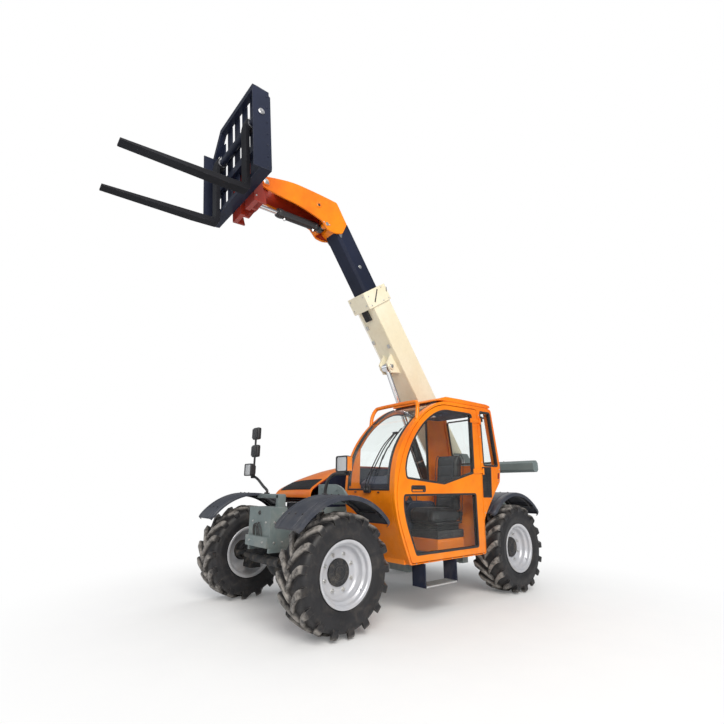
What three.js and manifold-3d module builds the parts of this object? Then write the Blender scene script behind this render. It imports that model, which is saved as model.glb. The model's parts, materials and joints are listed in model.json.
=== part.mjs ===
// Compact telehandler: a four-wheel-steer carrier with a side cab, a two-section telescopic boom on the
// centre line and a fork carriage on a quick hitch. Boom raised, forks level.
//
// Units are millimetres. +Z is up, -Y is the front, +X is the machine's left, where the cab is.
// Sizes are measured from the point midway between the axles, with the axle line at axleZ. The whole machine
// is then moved so that the origin is the centre of its bounding box's bottom face, on the ground.

import * as THREE from 'three';
import { mergeVertices } from 'three/addons/utils/BufferGeometryUtils.js';
import Module from 'manifold-3d';

const wasm = await Module();
wasm.setup();

// ---------------------------------------------------------------- driving dimensions

const seat = 0.3; // gap left between two pieces that touch
const pinPlay = 0.7; // radial play of a pin in its bore
const lap = 4; // how far one solid runs into the next where they are joined into one piece

const wheelbase = 2300;
const frontAxleY = -wheelbase / 2;
const rearAxleY = wheelbase / 2;
const axleZ = 434; // the datum height of both axles

const wheel = {
  tyreRadius: 434,
  tyreWidth: 331,
  outerX: 950, // outer face of the tyres
  rimRadius: 239,
  beadRadius: 222,
  barrelRadius: 200,
  hubRadius: 100,
  hubFaceDepth: 100, // from the tyre's outer face in to the hub's face
  discDepth: 128,
  facets: 24,
};

const kingpinX = wheel.outerX - 290;
const spindleEndX = wheel.outerX - 216;
const yoke = { half: 55, gap: 100, arm: 34, backX: kingpinX - 115 };
const steeredTyreRoom = 50; // around the kingpin, for the tyre's corners at full lock
const axleTubeRadius = 70;
const differentialRadius = 150;

const outerBoom = { half: 140, below: 175, above: 145, length: 2390, tail: 150, wall: 9 };
const collar = { half: outerBoom.half + 15, below: 235, above: 165, length: 200 };
const innerBoom = {
  half: outerBoom.half - 28, below: 160, above: 80, bevel: 28, wall: 8, tip: 3190, length: 2310 };
const boomAngle = 55.5; // elevation at rest, in degrees
const wearPadLength = 70;

const rail = { inner: outerBoom.half + 25, plate: 30, bottomZ: 335, topZ: 850, overAxleZ: 520 };
rail.outer = rail.inner + rail.plate;
rail.rearY = rearAxleY + 410;
const bellyThickness = 15;
const pivot = { y: rearAxleY + 58, z: 1350, radius: 32 };
const rearEndY = rearAxleY + 650;

const liftPin = { alongBoom: 1480, belowBoom: 266 };
const liftBase = { y: rearAxleY - 170, z: 640 };
const liftCylinder = { radius: 55, bore: 45, rod: 30, closed: 1150, rodLength: 1010, eye: 52, eyeHalf: 38 };
const cylinderPin = 22;

const headPivot = { beyondTip: 645, belowBoom: 796, pin: 28, disc: 46 };
const headCheek = { inner: innerBoom.half - 4, plate: 22 };
headCheek.outer = headCheek.inner + headCheek.plate;
const tiltBase = { beyondTip: 66, belowBoom: 260 };
const tiltCylinder = { radius: 46, bore: 36, rod: 24, closed: 560, rodLength: 540, eye: 40, eyeHalf: 30 };

const toolPitch = 5; // forward lean of the fork tool at rest, in degrees
const tiltRodPin = { y: -43, z: -207 }; // in the tool's frame, from the head pivot
const carriage = { halfWidth: 600, bottom: -235, sideTop: 600, top: 840, topHalf: 390, back: 190, front: 370 };
const forkShaft = { forward: 285, up: 350, radius: 34 };
const fork = { x: 350, width: 100, topZ: -305, heel: 55, tip: 18, back: 305, shank: 42, tipForward: 1384 };

const cab = { rightX: rail.outer + 15, leftX: wheel.outerX - 50, wall: 38, floorZ: 418, doorThickness: 38 };
const doorGap = 6;
const doorHinge = { x: cab.leftX + 10, y: 640, radius: 9.5 };
const jamb = 22; // how much thicker the cab's left wall is than the others
const pillar = 46; // width of a front pillar
const outrigger = { y: [-340, 420], width: 80, endX: cab.leftX - 145 };

const hood = {
  innerX: -rail.outer - 12, outerX: 5 - wheel.outerX, frontY: -740, rearY: 600, wall: 20,
  sideZ: 880, // lower edge of the sides
  frontZ: 945, // lower edge of the front
  frontCrownZ: 1022, crownZ: 1275, riseLength: 620, sideFall: 14, rearFall: 110,
};
const bay = { frontY: -590, rearY: 560, floor: 14 };

const fender = {
  radius: wheel.tyreRadius + 126, thickness: 14, lip: 26, innerX: wheel.outerX - 350,
  frontArc: 54, rearArc: 50, steps: 14 };
const fenderShelfZ = axleZ + fender.radius - fender.thickness + lap; // top of what carries a fender

const lamp = {
  x: wheel.outerX - 110, y: frontAxleY + 42, z: fenderShelfZ + 246, width: 150, height: 128, depth: 78 };

// ---------------------------------------------------------------- solids

function solid(geometry) {
  const bare = geometry.clone();
  bare.deleteAttribute('normal');
  bare.deleteAttribute('uv');
  const merged = mergeVertices(bare, 1e-3);
  return new wasm.Manifold(new wasm.Mesh({
    numProp: 3,
    vertProperties: new Float32Array(merged.attributes.position.array),
    triVerts: new Uint32Array(merged.index.array),
  }));
}

function join(...solids) {
  return solids.reduce((all, one) => all.add(one));
}

function cut(body, ...tools) {
  return tools.reduce((left, tool) => left.subtract(tool), body);
}

function box(x0, x1, y0, y1, z0, z1) {
  const geometry = new THREE.BoxGeometry(x1 - x0, y1 - y0, z1 - z0);
  geometry.translate((x0 + x1) / 2, (y0 + y1) / 2, (z0 + z1) / 2);
  return solid(geometry);
}

// The two limits along X of a piece on one side of the machine, from its distances to the middle.
function span(side, near, far) {
  return side > 0 ? [near, far] : [-far, -near];
}

const bothSides = (make) => [-1, 1].map(make);

function extrude(points, depth) {
  const shape = new THREE.Shape(points.map(([a, b]) => new THREE.Vector2(a, b)));
  return new THREE.ExtrudeGeometry(shape, { depth, bevelEnabled: false });
}

// An outline drawn in (y, z), made solid between two values of x.
function across(points, x0, x1) {
  const geometry = extrude(points, x1 - x0);
  const axes = new THREE.Matrix4().makeBasis(
    new THREE.Vector3(0, 1, 0), new THREE.Vector3(0, 0, 1), new THREE.Vector3(1, 0, 0));
  geometry.applyMatrix4(axes);
  geometry.translate(x0, 0, 0);
  return solid(geometry);
}

// An outline drawn in (x, z), made solid between two values of y.
function along(points, y0, y1) {
  const geometry = extrude(points, y1 - y0);
  geometry.rotateX(Math.PI / 2);
  geometry.translate(0, y1, 0);
  return solid(geometry);
}

// An outline drawn in (x, y), made solid between two values of z.
function upright(points, z0, z1) {
  const geometry = extrude(points, z1 - z0);
  geometry.translate(0, 0, z0);
  return solid(geometry);
}

// A round bar between two points.
function bar(from, to, radius, segments = 14) {
  const start = new THREE.Vector3(...from);
  const end = new THREE.Vector3(...to);
  const direction = end.clone().sub(start);
  const geometry = new THREE.CylinderGeometry(radius, radius, direction.length(), segments);
  const turn = new THREE.Quaternion().setFromUnitVectors(
    new THREE.Vector3(0, 1, 0), direction.clone().normalize());
  geometry.applyQuaternion(turn);
  geometry.translate(...start.add(end).multiplyScalar(0.5).toArray());
  return solid(geometry);
}

// A round bar along X, centred on (y, z).
function crossBar(x0, x1, y, z, radius, segments = 14) {
  return bar([x0, y, z], [x1, y, z], radius, segments);
}

// A round bar bent through some points.
function bentBar(points, radius, steps) {
  const corners = points.map((point) => new THREE.Vector3(...point));
  const path = new THREE.CatmullRomCurve3(corners, false, 'centripetal');
  const section = new THREE.Shape().absarc(0, 0, radius, 0, Math.PI * 2, false);
  return solid(new THREE.ExtrudeGeometry(section, {
    extrudePath: path, steps, curveSegments: 4, bevelEnabled: false }));
}

// A closed (radius, distance) profile turned about the X axis through (y, z), with a flat facet at the bottom.
function turned(profile, segments, y, z, side) {
  const points = profile.map(([radius, distance]) => new THREE.Vector2(radius, distance));
  const geometry = new THREE.LatheGeometry(points, segments, Math.PI / segments);
  geometry.rotateZ(-Math.PI / 2);
  if (side < 0) geometry.rotateY(Math.PI);
  geometry.translate(0, y, z);
  return solid(geometry);
}

function arcPoints(y, z, radius, fromDegrees, toDegrees, steps) {
  const points = [];
  for (let i = 0; i <= steps; i += 1) {
    const angle = THREE.MathUtils.degToRad(fromDegrees + (toDegrees - fromDegrees) * i / steps);
    points.push([y + radius * Math.sin(angle), z + radius * Math.cos(angle)]);
  }
  return points;
}

// The same outline drawn in by a distance, for counter-clockwise points.
function inset(points, distance) {
  const count = points.length;
  return points.map((point, i) => {
    const before = points[(i + count - 1) % count];
    const after = points[(i + 1) % count];
    const one = new THREE.Vector2(point[0] - before[0], point[1] - before[1]).normalize();
    const two = new THREE.Vector2(after[0] - point[0], after[1] - point[1]).normalize();
    const normal = new THREE.Vector2(-one.y - two.y, one.x + two.x).normalize();
    const reach = distance / Math.max(0.3, -one.y * normal.x + one.x * normal.y);
    return [point[0] + normal.x * reach, point[1] + normal.y * reach];
  });
}

// ---------------------------------------------------------------- materials

function paint(color, roughness = 0.4, metalness = 0) {
  return new THREE.MeshStandardMaterial({ color, roughness, metalness });
}

const materials = {
  orange: paint(0xf2810f, 0.35),
  cream: paint(0xf0e4bd, 0.4),
  darkSteel: paint(0x2f3447, 0.5, 0.2),
  chassisGrey: paint(0x84928f, 0.5),
  black: paint(0x1c1d22, 0.6),
  red: paint(0xa5280f, 0.4),
  silver: paint(0xc9ccd0, 0.35, 0.6),
  chrome: paint(0xdfe3e8, 0.12, 1),
  rubber: paint(0x232325, 0.9),
  fenderPlastic: paint(0x4a5262, 0.6),
  castIron: paint(0x3a3d42, 0.7, 0.3),
  seatCloth: paint(0x26282c, 0.95),
  glass: new THREE.MeshStandardMaterial({
    color: 0xb9cdd6, roughness: 0.05, metalness: 0, transparent: true, opacity: 0.35 }),
};

const machine = new THREE.Group();

function place(name, body, material, parent = machine) {
  const { vertProperties, triVerts } = body.getMesh();
  const geometry = new THREE.BufferGeometry();
  geometry.setAttribute('position', new THREE.BufferAttribute(vertProperties, 3));
  geometry.setIndex(new THREE.BufferAttribute(triVerts, 1));
  geometry.computeVertexNormals();
  const mesh = new THREE.Mesh(geometry, material);
  mesh.name = name;
  parent.add(mesh);
  return mesh;
}

// ---------------------------------------------------------------- chassis

const frontTower = {
  y0: frontAxleY - 250, y1: frontAxleY - 90, z0: 560, z1: 880, half: rail.outer + 3, wall: 20,
  eyeZ: 835, eye: 19 };
const railPoints = [
  [frontTower.y0, rail.overAxleZ + seat], [frontAxleY + 280, rail.overAxleZ + seat],
  [frontAxleY + 350, rail.bottomZ], [rearAxleY - 310, rail.bottomZ],
  [rearAxleY - 250, rail.overAxleZ + seat], [rail.rearY, rail.overAxleZ + seat],
  [rail.rearY, 900], [pivot.y + 182, pivot.z + 30], [pivot.y + 122, pivot.z + 100],
  [pivot.y - 98, pivot.z + 100], [pivot.y - 168, pivot.z + 40], [pivot.y - 308, rail.topZ],
  [frontAxleY + 590, rail.topZ], [frontAxleY + 450, 700], [frontTower.y0, 700],
];

function chassisFrame() {
  const inside = rail.inner + lap;
  const rails = bothSides((side) => across(railPoints, ...span(side, rail.inner, rail.outer)));
  const belly = box(-inside, inside, frontAxleY + 330, rearAxleY - 300,
    rail.bottomZ, rail.bottomZ + bellyThickness);
  const tower = cut(
    box(-frontTower.half, frontTower.half, frontTower.y0, frontTower.y1, frontTower.z0, frontTower.z1),
    box(-rail.inner + 12, rail.inner - 12, frontTower.y0 + frontTower.wall, frontTower.y1 + 1,
      frontTower.z0 - 60, frontTower.z1 - frontTower.wall),
    bar([0, frontTower.y0 - 5, frontTower.eyeZ], [0, frontTower.y0 + 25, frontTower.eyeZ], frontTower.eye, 16));
  const lip = box(-frontTower.half, frontTower.half, frontTower.y0 - 28, frontTower.y0 + 12, 560, 645);
  const outriggers = outrigger.y.flatMap((y) => bothSides((side) => box(
    ...span(side, rail.outer - lap, outrigger.endX), y, y + outrigger.width,
    rail.bottomZ, cab.floorZ - seat)));
  const crossTube = crossBar(-inside, inside, frontAxleY + 510, 560, 40);
  const pivotPin = crossBar(-rail.outer - 22, rail.outer + 22, pivot.y, pivot.z, pivot.radius, 16);
  const pivotBosses = bothSides((side) => crossBar(
    ...span(side, rail.outer - lap, rail.outer + 16), pivot.y, pivot.z, 62, 24));
  const liftPinBar = crossBar(-inside, inside, liftBase.y, liftBase.z, cylinderPin, 16);
  const liftLugs = bothSides((side) => crossBar(
    ...span(side, liftCylinder.eyeHalf + 6, inside), liftBase.y, liftBase.z, 40, 20));
  const rearPlate = box(-inside, inside, rail.rearY - rail.plate, rail.rearY, rail.overAxleZ + seat, 1000);
  return join(...rails, belly, tower, lip, ...outriggers, crossTube, pivotPin, ...pivotBosses,
    liftPinBar, ...liftLugs, rearPlate);
}

function counterweight() {
  const shoulderY = rail.rearY - 140;
  const plan = [
    [-rail.outer, rail.rearY + seat], [rail.outer, rail.rearY + seat], [rail.outer, shoulderY], [330, shoulderY],
    [560, rail.rearY + 40], [560, rail.rearY + 140], [500, rail.rearY + 185], [-500, rail.rearY + 185],
    [-560, rail.rearY + 140], [-560, rail.rearY + 40], [-330, shoulderY], [-rail.outer, shoulderY],
  ];
  const block = upright(plan, 470, 930);
  const tyreRoom = bothSides((side) => bar(
    [side * kingpinX, rearAxleY, 400], [side * kingpinX, rearAxleY, 1000], wheel.tyreRadius + steeredTyreRoom, 40));
  const railRoom = bothSides((side) => box(
    ...span(side, rail.inner - seat, rail.outer + seat), shoulderY - 20, rail.rearY + seat, 460, 940));
  return cut(block, ...tyreRoom, ...railRoom);
}

function rearLightBar() {
  const half = wheel.outerX - 80;
  const y0 = rearEndY - 110;
  const z0 = 1222;
  const z1 = 1358;
  const bevel = 30;
  const section = [
    [y0 + bevel, z0], [rearEndY - bevel, z0], [rearEndY, z0 + bevel], [rearEndY, z1 - bevel],
    [rearEndY - bevel, z1], [y0 + bevel, z1], [y0, z1 - bevel], [y0, z0 + bevel],
  ];
  const arm = [
    [pivot.y + 197, 1180], [y0 + 10, 1245], [y0 + 10, 1335], [pivot.y + 177, 1335], [pivot.y + 142, 1300]];
  const arms = bothSides((side) => across(arm, ...span(side, rail.outer + seat, rail.outer + 25)));
  return join(across(section, -half, half), ...arms);
}

// ---------------------------------------------------------------- axles, knuckles and wheels

function axle(y, pinionSide) {
  const ball = new THREE.SphereGeometry(differentialRadius, 14, 9);
  ball.rotateZ(Math.PI / 2);
  ball.scale(0.9, 1, 1);
  ball.translate(0, y, axleZ);
  const ramY = y - pinionSide * 165;
  const ramZ = axleZ + 10;
  const parts = [
    crossBar(-yoke.backX - 10, yoke.backX + 10, y, axleZ, axleTubeRadius, 16),
    solid(ball),
    bar([0, y, axleZ], [0, y + pinionSide * 230, axleZ], 62, 14),
    crossBar(-250, 250, ramY, ramZ, 38, 20),
    crossBar(-415, 415, ramY, ramZ, 18, 16),
  ];
  for (const x of [-190, 150]) {
    parts.push(box(x, x + 40, Math.min(ramY, y), Math.max(ramY, y), ramZ - 20, ramZ + 20));
  }
  for (const side of [-1, 1]) {
    parts.push(box(...span(side, rail.inner - 8, rail.outer + 8), y - 90, y + 90, axleZ, rail.overAxleZ));
    parts.push(box(...span(side, yoke.backX - 30, yoke.backX + 25), y - yoke.half, y + yoke.half,
      axleZ - yoke.gap - yoke.arm, axleZ + yoke.gap + yoke.arm));
    for (const armZ of [axleZ + yoke.gap, axleZ - yoke.gap - yoke.arm]) {
      parts.push(box(...span(side, yoke.backX, kingpinX), y - yoke.half, y + yoke.half, armZ, armZ + yoke.arm));
      parts.push(bar([side * kingpinX, y, armZ], [side * kingpinX, y, armZ + yoke.arm], yoke.half, 20));
    }
  }
  return join(...parts);
}

function knuckle(side, y, armSide) {
  const reach = yoke.gap - seat;
  const armLength = armSide * 150;
  return join(
    bar([side * kingpinX, y, axleZ - reach], [side * kingpinX, y, axleZ + reach], 50, 14),
    crossBar(...span(side, kingpinX, spindleEndX - 20), y, axleZ, 62, 16),
    crossBar(...span(side, spindleEndX - 22, spindleEndX), y, axleZ, 84, 16),
    box(...span(side, kingpinX - 20, kingpinX + 18), Math.min(y, y + armLength), Math.max(y, y + armLength),
      axleZ - 20, axleZ + 20));
}

// Both profiles give (radius, distance in from the tyre's outer face).
function wheelProfile() {
  const { tyreWidth: w, rimRadius, beadRadius, barrelRadius, hubRadius, hubFaceDepth, discDepth, outerX } = wheel;
  const backDepth = outerX - spindleEndX - seat;
  return [
    [0, hubFaceDepth], [hubRadius - 16, hubFaceDepth], [hubRadius, hubFaceDepth + 14],
    [hubRadius, discDepth], [168, discDepth], [188, discDepth - 18],
    [190, 72], [210, 56], [211, 24], [rimRadius, 14], [rimRadius, 26],
    [beadRadius, 34], [beadRadius, w - 34], [rimRadius, w - 26],
    [rimRadius, w - 14], [211, w - 24], [barrelRadius, w - 50], [barrelRadius, discDepth + 22],
    [165, discDepth + 14], [92, discDepth + 14], [88, backDepth], [0, backDepth],
  ];
}

function tyreProfile() {
  const { tyreWidth: w, tyreRadius, rimRadius, beadRadius, facets } = wheel;
  const inner = beadRadius + 2 * seat;
  const lip = rimRadius + 2 * seat;
  const tread = tyreRadius / Math.cos(Math.PI / facets); // so that the facets reach the ground
  const half = [
    [inner, 34 + 2 * seat], [lip, 26 + 2 * seat], [rimRadius + 24, 10], [tyreRadius - 104, 0],
    [tyreRadius - 34, 14], [tread, 50],
  ];
  const otherHalf = half.map(([radius, depth]) => [radius, w - depth]).reverse();
  return [...half, ...otherHalf, half[0]];
}

function wheelTurned(profile, side, y) {
  const points = profile.map(([radius, depth]) => [radius, wheel.outerX - depth]);
  return turned(points.reverse(), wheel.facets, y, axleZ, side);
}

// ---------------------------------------------------------------- fenders, lamps and step

function fenderShell(side, y, arcFrom, arcTo) {
  const { radius, thickness, steps, innerX, lip } = fender;
  const ring = (outer, inner) => [
    ...arcPoints(y, axleZ, outer, arcFrom, arcTo, steps), ...arcPoints(y, axleZ, inner, arcTo, arcFrom, steps),
  ].reverse();
  const skin = across(ring(radius, radius - thickness), ...span(side, innerX, wheel.outerX));
  const edge = across(ring(radius - thickness + 1, radius - thickness - lip),
    ...span(side, wheel.outerX - 12, wheel.outerX));
  return join(skin, edge);
}

const shelf = { frontY: frontAxleY + 50, insideX: fender.innerX - 110 };
const leftPanel = { y0: frontAxleY + 225, y1: frontAxleY + 250, z0: 905, z1: 1075 };

function leftFrontFender() {
  const cornerX = fender.innerX - 40;
  const joinX = fender.innerX + 40;
  const panel = along([
    [rail.outer + lap, leftPanel.z0], [cornerX, leftPanel.z0], [joinX, fenderShelfZ - 64],
    [joinX, fenderShelfZ - 14], [cornerX, leftPanel.z1 - 30], [cornerX - 90, leftPanel.z1],
    [rail.outer + lap, leftPanel.z1],
  ], leftPanel.y0, leftPanel.y1);
  const foot = box(rail.outer + seat, rail.outer + 60, leftPanel.y0, leftPanel.y1,
    frontTower.z0, leftPanel.z0 + 30);
  const top = box(shelf.insideX, joinX, shelf.frontY, leftPanel.y0 + 10, fenderShelfZ - 24, fenderShelfZ);
  return join(fenderShell(1, frontAxleY, -fender.frontArc, fender.frontArc), panel, foot, top);
}

function rightFrontFender() {
  const y0 = frontAxleY + 40;
  const y1 = frontAxleY + 120;
  const post = box(-rail.outer - 55, -rail.outer - seat, y0, y1, frontTower.z0, fenderShelfZ - lap);
  const beam = box(-fender.innerX - 40, -rail.outer - 10, y0, y1, fenderShelfZ - 40, fenderShelfZ);
  return join(fenderShell(-1, frontAxleY, -fender.frontArc, fender.frontArc), post, beam);
}

function rearFender(side) {
  const beam = box(...span(side, rail.outer + seat, fender.innerX + 40), rearAxleY - 60, rearAxleY + 20,
    fenderShelfZ - 40, fenderShelfZ);
  return join(fenderShell(side, rearAxleY, -fender.rearArc, fender.frontArc), beam);
}

// A lamp on an arm that rises from the shelf beside its fender.
function headlight(side) {
  const armY = lamp.y + 40;
  const armTopZ = lamp.z - 72;
  const footX = shelf.insideX + 25;
  const arm = bentBar([
    [footX, fenderShelfZ + 6], [footX + 5, fenderShelfZ + 46], [footX + 45, fenderShelfZ + 126],
    [footX + 135, armTopZ - 3], [lamp.x - 80, armTopZ], [lamp.x, armTopZ],
  ].map(([x, z]) => [side * x, armY, z]), 14, 12);
  const foot = box(...span(side, footX - 22, footX + 22), armY - 22, armY + 22,
    fenderShelfZ + seat, fenderShelfZ + 12);
  const x0 = side * lamp.x - lamp.width / 2;
  const housing = box(x0, x0 + lamp.width, lamp.y - lamp.depth / 2, lamp.y + lamp.depth / 2,
    lamp.z - lamp.height / 2, lamp.z + lamp.height / 2);
  const neck = box(side * lamp.x - 14, side * lamp.x + 14, lamp.y - 5, armY + 14, armTopZ - 14, armTopZ + 17);
  return join(arm, foot, housing, neck);
}

// The pole on the right lamp's arm, with its two small boxes.
function mirrorPole() {
  const y = lamp.y + 40;
  const boxes = [lamp.z + 202, lamp.z + 392].map((z) => box(
    -lamp.x - 60, -lamp.x + 72, y - 34, y + 26, z - 66, z + 66));
  return join(bar([-lamp.x, y, lamp.z - 80], [-lamp.x, y, lamp.z + 410], 11, 12), ...boxes);
}

const step = { y: [-300, 115], plate: 12, bottomZ: 232, x0: outrigger.endX + 10, x1: cab.leftX + 20 };

function cabStep() {
  const sides = step.y.map((y) => box(step.x0, step.x1, y, y + step.plate, step.bottomZ, cab.floorZ - seat));
  const y1 = step.y[1] + step.plate;
  const tread = box(step.x0 + 25, step.x1, step.y[0], y1, step.bottomZ - 6, step.bottomZ + 10);
  const backStrip = box(step.x0, step.x1, step.y[0], y1, step.bottomZ - 6, step.bottomZ + 4);
  return join(...sides, tread, backStrip);
}

// ---------------------------------------------------------------- engine side

// Height of the hood's crown along its inner edge.
function crownZ(y) {
  const t = THREE.MathUtils.clamp((y - hood.frontY) / hood.riseLength, 0, 1);
  return hood.frontCrownZ + (hood.crownZ - hood.frontCrownZ) * Math.sin(t * Math.PI / 2);
}

// Height of the hood anywhere: it falls away towards the outside.
function hoodTop(x, y) {
  const out = (hood.innerX - x) / (hood.innerX - hood.outerX);
  const back = THREE.MathUtils.clamp((y - hood.frontY) / hood.riseLength, 0, 1);
  return crownZ(y) - (hood.sideFall + hood.rearFall * back) * out ** 2.4;
}

// A block whose top follows the hood's surface, moved down by a drop.
function hoodBlock(x0, x1, y0, y1, z0, drop) {
  const geometry = new THREE.BoxGeometry(1, 1, 1, 8, 14, 1);
  const position = geometry.attributes.position;
  for (let i = 0; i < position.count; i += 1) {
    const x = x0 + (position.getX(i) + 0.5) * (x1 - x0);
    const y = y0 + (position.getY(i) + 0.5) * (y1 - y0);
    position.setXYZ(i, x, y, position.getZ(i) > 0 ? hoodTop(x, y) - drop : z0);
  }
  return solid(geometry);
}

function engineHood() {
  const { innerX, outerX, frontY, rearY, sideZ, wall } = hood;
  const shell = hoodBlock(outerX, innerX - 4, frontY, rearY, sideZ, 0);
  const hollow = hoodBlock(outerX + wall, innerX - 2, frontY + wall, rearY - wall, sideZ - 50, wall);
  const frontUnder = box(outerX - 5, innerX + 5, frontY - 5, bay.frontY - 10, sideZ - 80, hood.frontZ);
  const hinges = [-200, 380].map((y) => bar(
    [innerX - 8, y, hood.crownZ], [innerX - 8, y + 90, hood.crownZ], 9, 12));
  return join(cut(shell, hollow, frontUnder), ...hinges);
}

function engineBay() {
  const { frontY, rearY } = bay;
  const wallX = hood.outerX + 20; // outer face of the side wall
  const insideX = -rail.outer - lap;
  const topZ = hood.sideZ - seat;
  const bottomZ = cab.floorZ;
  const ridge = [];
  for (let i = 0; i <= 10; i += 1) {
    const y = rearY + (frontY - rearY) * i / 10;
    ridge.push([y, crownZ(y) - hood.wall - 4]);
  }
  return join(
    box(wallX + 15, insideX, frontY, rearY, bottomZ, bottomZ + bay.floor),
    box(wallX, wallX + 20, frontY, rearY, bottomZ, topZ),
    box(wallX, insideX, frontY, frontY + 20, bottomZ, topZ),
    box(wallX, insideX, rearY - 20, rearY, bottomZ, topZ),
    across([[frontY, bottomZ], [rearY, bottomZ], ...ridge], hood.innerX - 12, hood.innerX - 4));
}

function engineBlock() {
  const x0 = hood.outerX + 145;
  const x1 = hood.innerX - 123;
  const block = box(x0, x1, -470, 330, cab.floorZ + bay.floor + seat, 860);
  const rocker = box(x0 + 110, x1 - 110, -420, 280, 850, 960);
  return join(block, rocker);
}

// ---------------------------------------------------------------- cab

// The cab's outline from the side, and the openings in it, in (y, z).
const cabSide = [
  [-452, cab.floorZ], [612, cab.floorZ], [612, 700], [640, 770], [766, 921], [935, 1101], [965, 1248],
  [866, 1862], [820, 1880], [100, 1880], [-30, 1848], [-150, 1786], [-265, 1706], [-385, 1598],
  [-500, 1459], [-572, 1327], [-610, 1180], [-622, 1023], [-622, 945], [-594, 790], [-532, 600],
];
const windscreenArc = { first: 9, last: 17 }; // the corners of cabSide that the windscreen follows
const doorOutline = [
  [-430, cab.floorZ + 14], [600, cab.floorZ + 14], [622, 1140], [600, 1842], [60, 1838], [-60, 1800],
  [-190, 1732], [-315, 1622], [-430, 1480], [-520, 1300], [-570, 1120], [-594, 945], [-562, 770],
];
const quarterOutline = [[668, 1262], [918, 1262], [836, 1832], [660, 1832]];
const rightWindowOutline = [
  [-470, 1060], [560, 1060], [560, 1830], [80, 1830], [-60, 1785], [-220, 1685], [-350, 1565], [-455, 1420],
];
const windscreen = { x0: cab.rightX + pillar, x1: cab.leftX - pillar - jamb, bottomZ: 1023, rearY: 40 };
const rearWindow = { x0: cab.rightX + 60, x1: cab.leftX - 82, bottomZ: 1300, topZ: 1800 };
const floorHole = { x0: cab.rightX + cab.wall + 20, x1: cab.leftX - 80, y0: -430, y1: 560, thickness: 30 };
const roofZ = 1880;

function cabFrame() {
  const outside = across(cabSide, cab.rightX, cab.leftX);
  const inside = across(inset(cabSide, cab.wall), cab.rightX + cab.wall, cab.leftX - cab.wall - jamb);
  const past = 10; // how far a cut runs beyond the wall it goes through
  return cut(outside, inside,
    across(inset(doorOutline, -doorGap), cab.leftX - cab.doorThickness - seat, cab.leftX + past),
    across(inset(doorOutline, 34), cab.leftX - 110, cab.leftX + past),
    box(windscreen.x0, windscreen.x1, -720, windscreen.rearY, windscreen.bottomZ, roofZ + 25),
    across(rightWindowOutline, cab.rightX - past, cab.rightX + cab.wall + past),
    across(quarterOutline, cab.leftX - 80, cab.leftX + past),
    box(rearWindow.x0, rearWindow.x1, 700, 1100, rearWindow.bottomZ, rearWindow.topZ),
    box(rearWindow.x0, rearWindow.x1, 120, 790, rearWindow.topZ, roofZ + 25),
    box(floorHole.x0, floorHole.x1, floorHole.y0, floorHole.y1, cab.floorZ - 18, cab.floorZ + cab.wall + past));
}

// The bar that arches over the windscreen from pillar to pillar, as (inward, y, z) at each end.
function hoopBar() {
  const foot = [[0, -300, 1668], [2, -282, 1760], [30, -256, 1828], [90, -250, 1842]];
  const right = foot.map(([inward, y, z]) => [cab.rightX + 18 + inward, y, z]);
  const left = foot.map(([inward, y, z]) => [cab.leftX - 20 - inward, y, z]).reverse();
  return bentBar([...right, ...left], 16, 28);
}

function cabRoof() {
  const z = roofZ + seat;
  const profile = [
    [50, z], [826, z], [868, roofZ + 12], [862, roofZ + 35], [800, roofZ + 46], [340, roofZ + 52],
    [130, roofZ + 50], [40, roofZ + 25], [20, z],
  ];
  return across(profile, cab.rightX + 4, cab.leftX - 4);
}

function cabFloor() {
  const { x0, x1, y0, y1, thickness } = floorHole;
  return box(x0 + seat, x1 - seat, y0 + seat, y1 - seat, cab.floorZ, cab.floorZ + thickness);
}

// A sheet that follows the cab's front from the cowl up to the roof.
function windscreenGlass() {
  const { first, last } = windscreenArc;
  const front = cabSide.slice(first, last + 1);
  const back = inset(cabSide, 8).slice(first, last + 1).reverse();
  const sheet = across([...front, ...back], windscreen.x0 + seat, windscreen.x1 - seat);
  return cut(sheet,
    box(0, 1000, windscreen.rearY - seat, 400, 1700, 2000),
    box(0, 1000, -800, 0, 900, windscreen.bottomZ + seat));
}

function glassPane(points, x) {
  return across(inset(points, seat), x, x + 6);
}

function rearGlass() {
  const [low, high] = [cabSide[6], cabSide[7]];
  const rearY = (z) => low[0] + (high[0] - low[0]) * (z - low[1]) / (high[1] - low[1]);
  const z0 = rearWindow.bottomZ + seat;
  const z1 = rearWindow.topZ - seat;
  return across(
    [[rearY(z0) - 16, z0], [rearY(z0) - 10, z0], [rearY(z1) - 10, z1], [rearY(z1) - 16, z1]],
    rearWindow.x0 + seat, rearWindow.x1 - seat);
}

// ---------------------------------------------------------------- door

const upperGlass = [
  [-470, 1127], [30, 1080], [500, 1190], [512, 1788], [80, 1788], [-40, 1752], [-160, 1684], [-275, 1588],
  [-385, 1452], [-462, 1300], [-480, 1210],
];
const lowerGlass = [
  [-372, 492], [498, 492], [504, 986], [-505, 986], [-510, 880], [-478, 745],
];
const handle = { y0: -400, y1: -250, z0: 1036, z1: 1056, post: 14, standOff: 24 };

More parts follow.
